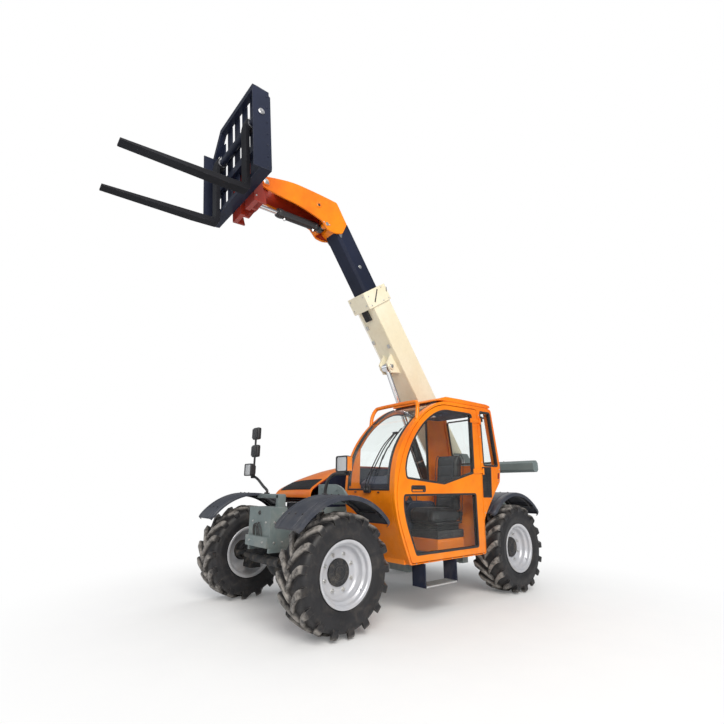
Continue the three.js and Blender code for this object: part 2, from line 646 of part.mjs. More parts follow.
function doorFrame() {
  const x0 = cab.leftX - cab.doorThickness;
  const slab = across(doorOutline, x0, cab.leftX);
  const windows = [upperGlass, lowerGlass].map((points) => across(points, x0 - 5, cab.leftX + 5));
  const hinges = [1205, 1722].map((z) => join(
    box(cab.leftX - lap, cab.leftX + 8, 530, 590, z - 22, z + 22),
    bar([doorHinge.x, doorHinge.y, z - 32], [doorHinge.x, doorHinge.y, z + 32], doorHinge.radius, 16),
    box(cab.leftX + 2, doorHinge.x, 560, doorHinge.y, z - 22, z + 22)));
  const { y0, y1, z0, z1, post, standOff } = handle;
  const grip = join(
    box(cab.leftX - lap, cab.leftX + standOff - 2, y0, y0 + post, z0, z1),
    box(cab.leftX + standOff - 12, cab.leftX + standOff, y0, y1, z0, z1),
    box(cab.leftX - lap, cab.leftX + standOff - 2, y1 - post, y1, z0, z1));
  return join(cut(slab, ...windows), ...hinges, grip);
}

// ---------------------------------------------------------------- cab interior

const cabDeckZ = cab.floorZ + floorHole.thickness + seat;
const driver = { x0: 380, x1: 740, seatZ: 720 };
const steeringWheel = { x: 555, y: -190, z: 1075, radius: 165, tilt: 32, columnTop: 70 };

function seatBase() {
  const { x0, x1, seatZ } = driver;
  return join(
    box(x0, x1, 80, 480, cabDeckZ, seatZ),
    box(cab.rightX + cab.wall + 26, x0 - 8, 20, 500, cabDeckZ, 900),
    box(x0 - 15, x0 + 20, 80, 480, cabDeckZ, seatZ - 20));
}

function driverSeat() {
  const { x0, x1, seatZ } = driver;
  const cushion = across([
    [40, seatZ + seat], [480, seatZ + seat], [500, 800], [420, 850], [60, 850], [20, 820]], x0 + 5, x1 + 5);
  const backrest = across([
    [400, 800], [520, 800], [585, 1340], [545, 1400], [500, 1400], [470, 1340]], x0 + 15, x1 - 5);
  return join(cushion, backrest);
}

function dashboard() {
  const columnX = [steeringWheel.x - 85, steeringWheel.x + 85];
  const column = across(
    [[-410, cabDeckZ], [-300, cabDeckZ], [-250, 760], [-260, 980], [-330, 1010], [-420, 900]], ...columnX);
  const pod = across(
    [[-520, 1000], [-300, 985], [-262, 1040], [-330, 1130], [-430, 1150], [-530, 1080]], 330, 790);
  const neck = box(...columnX, -430, -300, 900, 1020);
  const tilt = THREE.MathUtils.degToRad(steeringWheel.tilt);
  const pointOnColumn = (distance) => [
    steeringWheel.x, steeringWheel.y - distance * Math.sin(tilt), steeringWheel.z - distance * Math.cos(tilt)];
  const socket = bar(pointOnColumn(steeringWheel.columnTop), pointOnColumn(steeringWheel.columnTop + 130), 26);
  return join(column, pod, neck, socket);
}

// Made flat about its own centre, with the shaft along -Z.
function steeringWheelBody() {
  const { radius, columnTop } = steeringWheel;
  const parts = [solid(new THREE.TorusGeometry(radius, 13, 6, 14)), bar([0, 0, -17], [0, 0, 17], 36, 12)];
  for (let i = 0; i < 3; i += 1) {
    const spoke = new THREE.BoxGeometry(22, radius - 8, 10);
    spoke.translate(0, (radius - 8) / 2 + lap, 0);
    spoke.rotateZ(i * Math.PI * 2 / 3);
    parts.push(solid(spoke));
  }
  parts.push(bar([0, 0, 0], [0, 0, seat - columnTop], 16, 12));
  return join(...parts);
}

// ---------------------------------------------------------------- boom
// Boom pieces are made in the boom's own frame: -Y runs out along the boom from the pivot, +Z is its top.

const boomRadians = THREE.MathUtils.degToRad(boomAngle);
const boom = new THREE.Group();
boom.position.set(0, pivot.y, pivot.z);
boom.rotation.x = -boomRadians;
machine.add(boom);

// Where a point of the boom's frame lies on the machine at rest.
function onMachine(alongBoom, belowBoom) {
  return {
    y: pivot.y - alongBoom * Math.cos(boomRadians) - belowBoom * Math.sin(boomRadians),
    z: pivot.z + alongBoom * Math.sin(boomRadians) - belowBoom * Math.cos(boomRadians),
  };
}

function boomTube(half, below, above, bevel, y0, y1) {
  return along([
    [-half + bevel, -below], [half - bevel, -below], [half, -below + bevel], [half, above - bevel],
    [half - bevel, above], [-half + bevel, above], [-half, above - bevel], [-half, -below + bevel],
  ], y0, y1);
}

function outerBoomBody() {
  const { half, below, above, length, tail, wall } = outerBoom;
  const shell = boomTube(half, below, above, 12, -length, tail);
  const bore = boomTube(half - wall, below - wall, above - wall, 8, -length - 10, -170);
  const band = boomTube(collar.half, collar.below, collar.above, 14, -length, -length + collar.length);
  const tailCut = across([[tail + 5, -below - 5], [tail + 5, -40], [0, -below - 5]], -half - 5, half + 5);
  const pinBore = crossBar(-half - 5, half + 5, 0, 0, pivot.radius + 2 * pinPlay, 16);
  const pad = [-length, -length + wearPadLength];
  const sidePads = bothSides((side) => box(
    ...span(side, innerBoom.half + seat, half - wall + lap), ...pad, -110, 40));
  const topPad = box(-70, 70, ...pad, innerBoom.above + seat, above - wall + lap);
  const bottomPad = box(-70, 70, ...pad, -below + wall - lap, -innerBoom.below - seat);
  const pinY = -liftPin.alongBoom;
  const earBottom = -liftPin.belowBoom - 40;
  const ears = bothSides((side) => across(
    [[pinY - 130, -below + lap], [pinY - 62, earBottom], [pinY + 62, earBottom], [pinY + 130, -below + lap]],
    ...span(side, liftCylinder.eyeHalf + 14, liftCylinder.eyeHalf + 36)));
  const bosses = bothSides((side) => crossBar(
    ...span(side, liftCylinder.eyeHalf + 30, liftCylinder.eyeHalf + 52), pinY, -liftPin.belowBoom, 34, 14));
  return join(cut(join(shell, band), bore, tailCut, pinBore), ...sidePads, topPad, bottomPad, ...ears, ...bosses);
}

function innerBoomBody() {
  const { half, below, above, bevel, wall, tip, length } = innerBoom;
  const shell = boomTube(half, below, above, bevel, -tip, -tip + length);
  const bore = boomTube(half - wall, below - wall, above - wall, bevel - lap, -tip + 30, -tip + length + 10);
  return cut(shell, bore);
}

// The head's shapes in (distance beyond the inner boom's tip, height above the boom's axis).
const headOutline = [
  [-6, 32], [265, 37], [405, -160], [589, -446], [664, -647], [706, -778], [693, -848], [638, -873],
  [583, -838], [473, -696], [329, -498], [120, -305], [4, -284], [-58, -211], [-89, -99],
];
const headRoof = [
  [198, 14], [263, 36], [403, -161], [588, -447], [631, -563], [610, -577], [567, -461], [383, -175], [265, -13]];
const headWeb = [[-60, -43], [218, 21], [277, -30], [181, -120], [93, -168], [18, -183], [-49, -156]];

function boomHead() {
  const inBoom = (points) => points.map(([beyond, above]) => [-innerBoom.tip - beyond, above]);
  const cheeks = bothSides((side) => across(inBoom(headOutline), ...span(side, headCheek.inner, headCheek.outer)));
  const inside = headCheek.inner + 2;
  const roof = across(inBoom(headRoof), -inside, inside);
  const web = across(inBoom(headWeb), -inside, inside);
  const socket = boomTube(innerBoom.half + seat, innerBoom.below + seat, innerBoom.above + seat, innerBoom.bevel,
    -innerBoom.tip - seat, -innerBoom.tip + 700);
  const base = [-innerBoom.tip - tiltBase.beyondTip, -tiltBase.belowBoom];
  const nose = [-innerBoom.tip - headPivot.beyondTip, -headPivot.belowBoom];
  const basePin = crossBar(-headCheek.inner - lap, headCheek.inner + lap, ...base, cylinderPin, 16);
  const sleeves = bothSides((side) => crossBar(
    ...span(side, tiltCylinder.eyeHalf + 8, headCheek.inner + lap), ...base, 32, 20));
  const nosePin = crossBar(-headCheek.outer - 14, headCheek.outer + 14, ...nose, headPivot.pin, 16);
  const discs = bothSides((side) => crossBar(
    ...span(side, headCheek.outer - lap, headCheek.outer + 9), ...nose, headPivot.disc, 24));
  return join(cut(join(...cheeks, roof, web), socket), basePin, ...sleeves, nosePin, ...discs);
}

// ---------------------------------------------------------------- cylinders

// A barrel and its rod lie along +Y of a group turned so that +Y points from the base pin to the rod pin.
function cylinderGroup(from, to) {
  const group = new THREE.Group();
  group.position.set(0, from.y, from.z);
  group.rotation.x = Math.atan2(to.z - from.z, to.y - from.y);
  machine.add(group);
  return group;
}

function barrelBody({ radius, bore, rod, closed, eye, eyeHalf }) {
  const glandStart = closed - 60;
  const boreStart = eye + 60;
  const rodRoom = rod + 0.5;
  const profile = [
    [0, eye * 0.4], [eyeHalf - 4, eye * 0.4], [eyeHalf - 4, eye], [radius, eye + 25], [radius, closed],
    [rodRoom, closed], [rodRoom, glandStart], [bore, glandStart], [bore, boreStart], [0, boreStart],
  ];
  const tube = solid(new THREE.LatheGeometry(profile.map((point) => new THREE.Vector2(...point)), 24));
  const eyeRing = crossBar(-eyeHalf, eyeHalf, 0, 0, eye, 16);
  const pinBore = crossBar(-eyeHalf - 60, eyeHalf + 60, 0, 0, cylinderPin + pinPlay, 16);
  return cut(join(tube, eyeRing), pinBore);
}

function rodBody({ rod, rodLength, eye, eyeHalf }, distance) {
  const shaft = bar([0, distance - rodLength, 0], [0, distance - eye * 0.5, 0], rod, 16);
  const eyeRing = crossBar(-eyeHalf, eyeHalf, distance, 0, eye, 16);
  const pinBore = crossBar(-eyeHalf - 5, eyeHalf + 5, distance, 0, cylinderPin + 1, 16);
  return cut(join(shaft, eyeRing), pinBore);
}

function placeCylinder(name, size, from, to) {
  const group = cylinderGroup(from, to);
  const distance = Math.hypot(to.y - from.y, to.z - from.z);
  place(`${name}_cylinder_barrel`, barrelBody(size), materials.black, group);
  place(`${name}_cylinder_rod`, rodBody(size, distance), materials.chrome, group);
}

// ---------------------------------------------------------------- fork tool
// Made about the head pivot: -Y is forward along the forks, and the group leans by the tool's pitch.

const toolRadians = THREE.MathUtils.degToRad(toolPitch);
const toolCentre = onMachine(innerBoom.tip + headPivot.beyondTip, headPivot.belowBoom);
const tool = new THREE.Group();
tool.position.set(0, toolCentre.y, toolCentre.z);
tool.rotation.x = toolRadians;
machine.add(tool);

// Where a point of the tool's frame lies on the machine at rest.
function toolOnMachine(y, z) {
  return {
    y: toolCentre.y + y * Math.cos(toolRadians) - z * Math.sin(toolRadians),
    z: toolCentre.z + y * Math.sin(toolRadians) + z * Math.cos(toolRadians),
  };
}

const hitch = {
  half: 250, flank: 22, top: 190, bottom: -335, front: -carriage.back + seat,
  rodSlotHalf: tiltCylinder.eyeHalf + 20, rodSlotTop: -120 };

function quickHitch() {
  const { half, flank, top, bottom, front } = hitch;
  const ears = bothSides((side) => across([
    [46, -60], [tiltRodPin.y + 48, tiltRodPin.z - 10], [tiltRodPin.y + 10, tiltRodPin.z - 50], [-80, -330],
    [-150, -330], [-150, 120], [-20, 62], [40, 50], [58, 8],
  ].reverse(), ...span(side, 72, headCheek.inner - 6)));
  const plate = cut(
    box(-half, half, front, -142, bottom, top),
    box(-hitch.rodSlotHalf, hitch.rodSlotHalf, front - 5, -137, bottom - 5, hitch.rodSlotTop));
  const flanks = bothSides((side) => across([
    [-146, top], [front, top], [front, bottom], [-60, bottom], [-100, -150], [-100, 100],
  ], ...span(side, half - flank, half)));
  const pinBore = crossBar(-200, 200, 0, 0, headPivot.pin + pinPlay, 16);
  const bosses = bothSides((side) => crossBar(
    ...span(side, headCheek.inner - 12, headCheek.inner + 17), tiltRodPin.y, tiltRodPin.z, 26, 20));
  return join(cut(join(...ears, plate, ...flanks), pinBore), ...bosses);
}

const slat = { count: 6, pitch: 180, half: 54, plate: 12, topGap: 50 };

function carriageFrame() {
  const { halfWidth, bottom, sideTop, top, topHalf, back, front } = carriage;
  const face = [
    [-halfWidth, bottom], [halfWidth, bottom], [halfWidth, sideTop], [topHalf, top], [-topHalf, top],
    [-halfWidth, sideTop]];
  const ring = cut(along(face, -back - 75, -back - 15), along(inset(face, 58), -front - 5, -back + 5));
  const sides = bothSides((side) => across([
    [-back - 40, bottom], [-front, bottom], [-front, sideTop], [-back - 60, sideTop], [-back, sideTop - 50],
    [-back, bottom + 15],
  ], ...span(side, halfWidth - 14, halfWidth)));
  const slats = [];
  for (let i = 0; i < slat.count; i += 1) {
    const x = (i - (slat.count - 1) / 2) * slat.pitch;
    const reach = Math.abs(x) < topHalf ? top : sideTop + halfWidth - Math.abs(x);
    slats.push(box(x - slat.half, x + slat.half, -back - 18, -back - 18 + slat.plate,
      bottom + 30, reach - slat.topGap));
  }
  const inside = halfWidth - 5;
  const rows = [[-back - 62, -back, bottom, bottom + 90], [-back - 62, -back, 110, 190],
    [-back - 60, -back - 8, 405, 450], [-fork.back + seat, -back - 60, bottom, bottom + 40]];
  const beams = rows.map((limits) => box(-inside, inside, ...limits));
  const shaft = crossBar(-halfWidth - 4, halfWidth + 4, -forkShaft.forward, forkShaft.up, forkShaft.radius, 20);
  return join(ring, ...sides, ...slats, ...beams, shaft);
}

function forkBody(side) {
  const { width, topZ: top, heel, tip, back, shank, tipForward } = fork;
  const { forward, up, radius } = forkShaft;
  const x = [side * fork.x - width / 2, side * fork.x + width / 2];
  const profile = [
    [-back, up - 60], [-back, top - heel + 25], [-back - 18, top - heel], [-back - 260, top - heel],
    [-tipForward, top - tip], [-tipForward, top], [-back - shank - 20, top], [-back - shank, top + 25],
    [-back - shank, up - 30], [-forward - 45, up + 50], [-forward + 20, up + 48], [-forward + 48, up + 10],
    [-forward + 44, up - 30], [-forward + 10, up - 56],
  ];
  return cut(across(profile, ...x), crossBar(x[0] - 5, x[1] + 5, -forward, up, radius + pinPlay, 20));
}

// ---------------------------------------------------------------- assembly

place('chassis_frame', chassisFrame(), materials.chassisGrey);
place('counterweight', counterweight(), materials.chassisGrey);
place('rear_light_bar', rearLightBar(), materials.darkSteel);
place('front_axle', axle(frontAxleY, 1), materials.castIron);
place('rear_axle', axle(rearAxleY, -1), materials.castIron);

for (const [end, y, armSide] of [['front', frontAxleY, -1], ['rear', rearAxleY, 1]]) {
  for (const [name, side] of [['left', 1], ['right', -1]]) {
    place(`${end}_${name}_knuckle`, knuckle(side, y, armSide), materials.castIron);
    place(`${end}_${name}_rim`, wheelTurned(wheelProfile(), side, y), materials.silver);
    place(`${end}_${name}_tyre`, wheelTurned(tyreProfile(), side, y), materials.rubber);
  }
}

place('front_left_fender', leftFrontFender(), materials.fenderPlastic);
place('front_right_fender', rightFrontFender(), materials.fenderPlastic);
place('rear_left_fender', rearFender(1), materials.fenderPlastic);
place('rear_right_fender', rearFender(-1), materials.fenderPlastic);
place('left_headlight', headlight(1), materials.black);
place('right_headlight', join(headlight(-1), mirrorPole()), materials.black);
place('cab_step', cabStep(), materials.darkSteel);

place('engine_block', engineBlock(), materials.castIron);
place('engine_bay', engineBay(), materials.darkSteel);
place('engine_hood', engineHood(), materials.orange);

place('cab_frame', join(cabFrame(), hoopBar()), materials.orange);
place('cab_roof', cabRoof(), materials.orange);
place('cab_floor', cabFloor(), materials.darkSteel);
place('windscreen', windscreenGlass(), materials.glass);
place('right_window', glassPane(rightWindowOutline, cab.rightX + 12), materials.glass);
place('quarter_window', glassPane(quarterOutline, cab.leftX - 30), materials.glass);
place('rear_window', rearGlass(), materials.glass);
place('seat_base', seatBase(), materials.black);
place('driver_seat', driverSeat(), materials.seatCloth);
place('dashboard', dashboard(), materials.darkSteel);

const wheelMount = new THREE.Group();
wheelMount.position.set(steeringWheel.x, steeringWheel.y, steeringWheel.z);
wheelMount.rotation.x = -THREE.MathUtils.degToRad(steeringWheel.tilt);
machine.add(wheelMount);
place('steering_wheel', steeringWheelBody(), materials.black, wheelMount);

place('door_frame', doorFrame(), materials.orange);
place('door_upper_glass', glassPane(upperGlass, cab.leftX - 22), materials.glass);
place('door_lower_glass', glassPane(lowerGlass, cab.leftX - 22), materials.glass);

place('outer_boom', outerBoomBody(), materials.cream, boom);
place('inner_boom', innerBoomBody(), materials.darkSteel, boom);
place('boom_head', boomHead(), materials.orange, boom);

placeCylinder('lift', liftCylinder, liftBase, onMachine(liftPin.alongBoom, liftPin.belowBoom));
placeCylinder('tilt', tiltCylinder, onMachine(innerBoom.tip + tiltBase.beyondTip, tiltBase.belowBoom),
  toolOnMachine(tiltRodPin.y, tiltRodPin.z));

place('quick_hitch', quickHitch(), materials.red, tool);
place('fork_carriage', carriageFrame(), materials.darkSteel, tool);
place('left_fork', forkBody(1), materials.black, tool);
place('right_fork', forkBody(-1), materials.black, tool);

const frontEndY = toolOnMachine(-fork.tipForward, fork.topZ).y;
machine.position.set(0, -(rearEndY + frontEndY) / 2, wheel.tyreRadius - axleZ);

export default machine;
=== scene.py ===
# Looks of the compact telehandler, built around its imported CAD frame.
# Lengths in this file are millimetres in the CAD source's working frame (origin midway between the axles,
# -Y the front, +X the machine's left); place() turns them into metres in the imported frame.

import json
import math

import bmesh
import bpy
import numpy as np
from mathutils import Matrix, Vector
from mathutils.geometry import tessellate_polygon

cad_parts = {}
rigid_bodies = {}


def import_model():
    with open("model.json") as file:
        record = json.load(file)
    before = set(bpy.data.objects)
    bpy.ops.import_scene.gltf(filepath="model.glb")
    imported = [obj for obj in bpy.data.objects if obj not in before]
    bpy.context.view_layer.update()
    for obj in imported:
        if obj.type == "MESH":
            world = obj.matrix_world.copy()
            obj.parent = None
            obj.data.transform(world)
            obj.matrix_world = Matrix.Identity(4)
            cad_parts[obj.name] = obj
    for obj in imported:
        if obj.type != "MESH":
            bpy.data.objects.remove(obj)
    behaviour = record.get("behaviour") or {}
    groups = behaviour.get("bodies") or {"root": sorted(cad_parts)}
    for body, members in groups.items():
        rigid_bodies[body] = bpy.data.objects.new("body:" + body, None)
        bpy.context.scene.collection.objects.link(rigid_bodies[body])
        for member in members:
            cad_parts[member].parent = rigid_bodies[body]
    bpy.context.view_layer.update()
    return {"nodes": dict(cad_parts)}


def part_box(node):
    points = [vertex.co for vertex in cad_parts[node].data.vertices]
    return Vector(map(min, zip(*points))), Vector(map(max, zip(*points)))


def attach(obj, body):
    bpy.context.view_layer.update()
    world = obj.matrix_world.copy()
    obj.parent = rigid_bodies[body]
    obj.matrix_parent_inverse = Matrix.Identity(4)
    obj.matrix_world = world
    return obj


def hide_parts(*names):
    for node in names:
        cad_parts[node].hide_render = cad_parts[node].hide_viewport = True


for old in list(bpy.data.objects):
    bpy.data.objects.remove(old)

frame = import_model()
NODES = frame["nodes"]


def sin(d):
    return math.sin(math.radians(d))


def cos(d):
    return math.cos(math.radians(d))


def around(count, radius, start=0.0):
    """Points evenly spaced on a circle, from an angle in degrees."""
    angles = [start + 360 * k / count for k in range(count)]
    return [(radius * cos(a), radius * sin(a)) for a in angles]


def span(side, near, far):
    """The stretch between two distances from the middle, on one side (1 or -1)."""
    return sorted((side * near, side * far))


def outward(side, profile):
    """A turned profile whose distances run out from the middle, on one side."""
    return [(r, side * d) for r, d in profile]


def turn_by(degrees, axis):
    return Matrix.Rotation(math.radians(degrees), 3, axis)


# ---------------------------------------------------------------- frames

WHEELBASE = 2300.0
FRONT, REAR = -WHEELBASE / 2, WHEELBASE / 2
AXLE_Z = 434.0
tyre_low, tyre_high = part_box("front_left_tyre")
SHIFT = (tyre_low.y + tyre_high.y) * 500 - FRONT
BOOM_ANGLE = 55.5
TOOL_ANGLE = 5
PIVOT = (REAR + 58, 1350.0)
TIP = 3190.0

# Pins on the boom are (along it from its pivot, square below it); LIFT_FOOT is in the machine's frame
# and TILT_EYE in the tool's.
LIFT_PIN, LIFT_FOOT = (1480, 266), (REAR - 170, 640)
TILT_PIN, TILT_EYE = (TIP + 66, 260), (-43, -207)
HITCH_PIN = (TIP + 645, 796)


def place(x, y, z):
    return Vector((x / 1000, (y + SHIFT) / 1000, z / 1000))


def frame_at(x, y, z, degrees=0.0):
    """A working frame in millimetres, tipped about X."""
    turn = Matrix.Rotation(math.radians(degrees), 4, "X")
    return Matrix.Translation(place(x, y, z)) @ turn @ Matrix.Scale(0.001, 4)


def on_machine(along, below):
    """A point of the boom in the machine's own y and z."""
    return (PIVOT[0] - along * cos(BOOM_ANGLE) - below * sin(BOOM_ANGLE),
            PIVOT[1] + along * sin(BOOM_ANGLE) - below * cos(BOOM_ANGLE))


TOOL_CENTRE = on_machine(*HITCH_PIN)


def tool_on_machine(y, z):
    return (TOOL_CENTRE[0] + y * cos(TOOL_ANGLE) - z * sin(TOOL_ANGLE),
            TOOL_CENTRE[1] + y * sin(TOOL_ANGLE) + z * cos(TOOL_ANGLE))


def cylinder_frame(start, end):
    """Y runs along the cylinder, from its foot."""
    slope = math.atan2(end[1] - start[1], end[0] - start[0])
    return frame_at(0, *start, math.degrees(slope))


MACHINE = frame_at(0, 0, 0)
BOOM = frame_at(0, *PIVOT, -BOOM_ANGLE)
TOOL = frame_at(0, *TOOL_CENTRE, TOOL_ANGLE)
LIFT = cylinder_frame(LIFT_FOOT, on_machine(*LIFT_PIN))
TILT = cylinder_frame(on_machine(*TILT_PIN), tool_on_machine(*TILT_EYE))

# The frame in which each body's pieces are drawn, where it isn't the machine's.
FRAMES = {"outer_boom": BOOM, "inner_boom": BOOM, "fork_tool": TOOL,
          "lift_cylinder_barrel": LIFT, "tilt_cylinder_barrel": TILT}


# ---------------------------------------------------------------- materials

class Shader:
    """Builds one material's nodes; patterns are in object space, so they stay put as bodies move."""

    def __init__(self, name):
        self.mat = bpy.data.materials.new(name)
        self.mat.use_nodes = True
        self.tree = self.mat.node_tree
        self.tree.nodes.clear()
        self.out = self.tree.nodes.new("ShaderNodeOutputMaterial")
        self.coord = self.tree.nodes.new("ShaderNodeTexCoord").outputs["Object"]

    def node(self, kind, **settings):
        made = self.tree.nodes.new(kind)
        for key, value in settings.items():
            setattr(made, key, value)
        return made

    def link(self, source, socket):
        if isinstance(source, bpy.types.NodeSocket):
            self.tree.links.new(source, socket)
        else:
            if isinstance(source, tuple) and len(source) == 3 and socket.type == "RGBA":
                source = (*source, 1)
            socket.default_value = source

    def noise(self, scale, detail=3.0, rough=0.55, stretch=None, distort=0.0):
        made = self.node("ShaderNodeTexNoise")
        made.inputs["Scale"].default_value = scale
        made.inputs["Detail"].default_value = detail
        made.inputs["Roughness"].default_value = rough
        made.inputs["Distortion"].default_value = distort
        self.link(self.stretched(stretch) if stretch else self.coord, made.inputs["Vector"])
        return made.outputs["Fac"]

    def stretched(self, scale, turn=(0, 0, 0)):
        made = self.node("ShaderNodeMapping")
        made.inputs["Scale"].default_value = scale
        made.inputs["Rotation"].default_value = turn
        self.link(self.coord, made.inputs["Vector"])
        return made.outputs["Vector"]

    def cells(self, scale, feature="F1", stretch=None):
        made = self.node("ShaderNodeTexVoronoi", feature=feature)
        made.inputs["Scale"].default_value = scale
        self.link(self.stretched(stretch) if stretch else self.coord, made.inputs["Vector"])
        return made.outputs["Distance"]

    def wave(self, scale, direction="X", distort=0.0, vector=None):
        made = self.node("ShaderNodeTexWave", bands_direction=direction)
        made.inputs["Scale"].default_value = scale
        made.inputs["Distortion"].default_value = distort
        self.link(vector or self.coord, made.inputs["Vector"])
        return made.outputs["Fac"]

    def math(self, op, a, b=0.5, clamp=False):
        made = self.node("ShaderNodeMath", operation=op, use_clamp=clamp)
        self.link(a, made.inputs[0])
        self.link(b, made.inputs[1])
        return made.outputs[0]

    def ramp(self, value, low, high, to_low=0.0, to_high=1.0):
        made = self.node("ShaderNodeMapRange", interpolation_type="SMOOTHSTEP")
        self.link(value, made.inputs["Value"])
        for key, v in (("From Min", low), ("From Max", high), ("To Min", to_low), ("To Max", to_high)):
            made.inputs[key].default_value = v
        return made.outputs["Result"]

    def mix(self, fac, a, b):
        made = self.node("ShaderNodeMix", data_type="RGBA", blend_type="MIX")
        self.link(fac, made.inputs[0])
        self.link(a, made.inputs[6])
        self.link(b, made.inputs[7])
        return made.outputs[2]

    def height_of(self):
        made = self.node("ShaderNodeSeparateXYZ")
        self.link(self.coord, made.inputs[0])
        return made.outputs["Z"]

    def from_axle(self):
        """Distance from the nearer axle's line, before the wheels turn or steer."""
        made = self.node("ShaderNodeSeparateXYZ")
        self.link(self.coord, made.inputs[0])
        along = self.math("SUBTRACT", made.outputs["Y"], SHIFT / 1000)
        along = self.math("SUBTRACT", self.math("ABSOLUTE", along, 0.0), REAR / 1000)
        up = self.math("SUBTRACT", made.outputs["Z"], AXLE_Z / 1000)
        squares = self.math("ADD", self.math("POWER", along, 2.0), self.math("POWER", up, 2.0))
        return self.math("SQRT", squares, 0.0)

    def edges(self, radius=0.005, low=0.02, high=0.22):
        """1 along outside and inside edges, 0 on flat faces."""
        bevel = self.node("ShaderNodeBevel", samples=4)
        bevel.inputs["Radius"].default_value = radius
        true = self.node("ShaderNodeNewGeometry").outputs["Normal"]
        dot = self.node("ShaderNodeVectorMath", operation="DOT_PRODUCT")
        self.link(bevel.outputs[0], dot.inputs[0])
        self.link(true, dot.inputs[1])
        return self.ramp(self.math("SUBTRACT", 1.0, dot.outputs["Value"]), low, high)

    def bump(self, height, strength, distance, under=None):
        made = self.node("ShaderNodeBump")
        made.inputs["Strength"].default_value = strength
        made.inputs["Distance"].default_value = distance
        self.link(height, made.inputs["Height"])
        if under is not None:
            self.link(under, made.inputs["Normal"])
        return made.outputs["Normal"]

    def surface(self, color, rough, normal=None, metallic=0.0, **constants):
        shader = self.node("ShaderNodeBsdfPrincipled")
        self.link(color, shader.inputs["Base Color"])
        self.link(rough, shader.inputs["Roughness"])
        self.link(metallic, shader.inputs["Metallic"])
        if normal is not None:
            self.link(normal, shader.inputs["Normal"])
        for key, value in constants.items():
            shader.inputs[key.replace("_", " ")].default_value = value
        self.link(shader.outputs[0], self.out.inputs["Surface"])
        return self.mat


MUD = (0.30, 0.25, 0.19)
DUST = (0.52, 0.47, 0.40)
OIL = (0.018, 0.015, 0.014)
TARNISH = (0.25, 0.2, 0.16)
DRIED_MUD = (0.13, 0.110, 0.092)
# Pale grey-tan of the tyre lug tops: part worn rubber, part painted highlight.
WORN_RUBBER_AND_HIGHLIGHT = (0.40, 0.37, 0.34)


def scaled(color, by, plus=0.0):
    """A color made darker or paler, held under white."""
    return tuple(min(1, c * by + plus) for c in color)


def paint(name, color, deep, rough=0.3, coat=0.35, dust=0.3, dust_top=1.3, chips=0.5,
          bare=(0.16, 0.15, 0.15), metallic=0.0, specular=0.5):
    """Sprayed enamel: orange peel, uneven gloss, dust that thins with height, and chipped, rubbed edges."""
    s = Shader(name)
    cloud = s.noise(1.7, 4, 0.6)
    base = s.mix(s.ramp(cloud, 0.3, 0.72), color, deep)
    fine = s.noise(26, 3, 0.6)
    base = s.mix(s.ramp(fine, 0.35, 0.8, 0.0, 0.16), base, scaled(deep, 0.72))
    low = s.ramp(s.height_of(), 0.15, dust_top, 1.0, 0.06)
    patches = s.ramp(s.noise(5.5, 6, 0.66, distort=0.6), 0.42, 0.78)
    film = s.math("MULTIPLY", s.math("MULTIPLY", low, patches), dust, True)
    base = s.mix(film, base, DUST)
    streak = s.ramp(s.noise(11, 5, 0.7, stretch=(1, 1, 0.08)), 0.56, 0.8, 0, 0.14)
    base = s.mix(streak, base, scaled(deep, 0.55))
    edge = s.edges(0.006)
    broken = s.ramp(s.noise(34, 6, 0.7), 0.46, 0.62)
    chip = s.math("MULTIPLY", s.math("MULTIPLY", edge, broken), chips, True)
    base = s.mix(chip, base, bare)
    rubbed = s.math("MULTIPLY", edge, 0.22)
    base = s.mix(rubbed, base, scaled(color, 1.25, 0.025))
    gloss = s.math("ADD", s.ramp(cloud, 0.2, 0.8, rough - 0.05, rough + 0.09),
                   s.math("MULTIPLY", film, 0.45), True)
    gloss = s.math("ADD", gloss, s.math("MULTIPLY", chip, 0.25), True)
    normal = s.bump(s.noise(420, 2, 0.5), 0.05, 0.0006)
    normal = s.bump(s.math("SUBTRACT", 1.0, chip), 0.25, 0.0008, normal)
    return s.surface(base, gloss, normal, metallic, Coat_Weight=coat, Coat_Roughness=0.12,
                     Specular_IOR_Level=specular)


def plastic(name, color, rough=0.55, grain=900.0, depth=0.25, dust=0.35):
    """Moulded plastic with a leather-like grain, dust in it and paler, scuffed edges."""
    s = Shader(name)
    cloud = s.noise(3.0, 4, 0.6)
    base = s.mix(s.ramp(cloud, 0.3, 0.75), color, scaled(color, 0.78))
    low = s.ramp(s.height_of(), 0.2, 1.4, 1.0, 0.15)
    film = s.math("MULTIPLY", s.math("MULTIPLY", low, s.ramp(s.noise(7, 6, 0.68), 0.4, 0.8)), dust, True)
    base = s.mix(film, base, DUST)
    scuff = s.ramp(s.noise(60, 5, 0.75, stretch=(1, 0.25, 1)), 0.6, 0.78, 0, 0.14)
    base = s.mix(scuff, base, scaled(color, 1.8, 0.03))
    base = s.mix(s.math("MULTIPLY", s.edges(0.005), 0.24), base, scaled(color, 2.0, 0.03))
    gloss = s.math("ADD", s.ramp(cloud, 0.2, 0.8, rough - 0.06, rough + 0.1),
                   s.math("MULTIPLY", film, 0.3), True)
    skin = s.cells(grain, "SMOOTH_F1")
    normal = s.bump(skin, depth, 0.0005, s.bump(s.noise(60, 3), 0.05, 0.002))
    return s.surface(base, gloss, normal, 0.0)


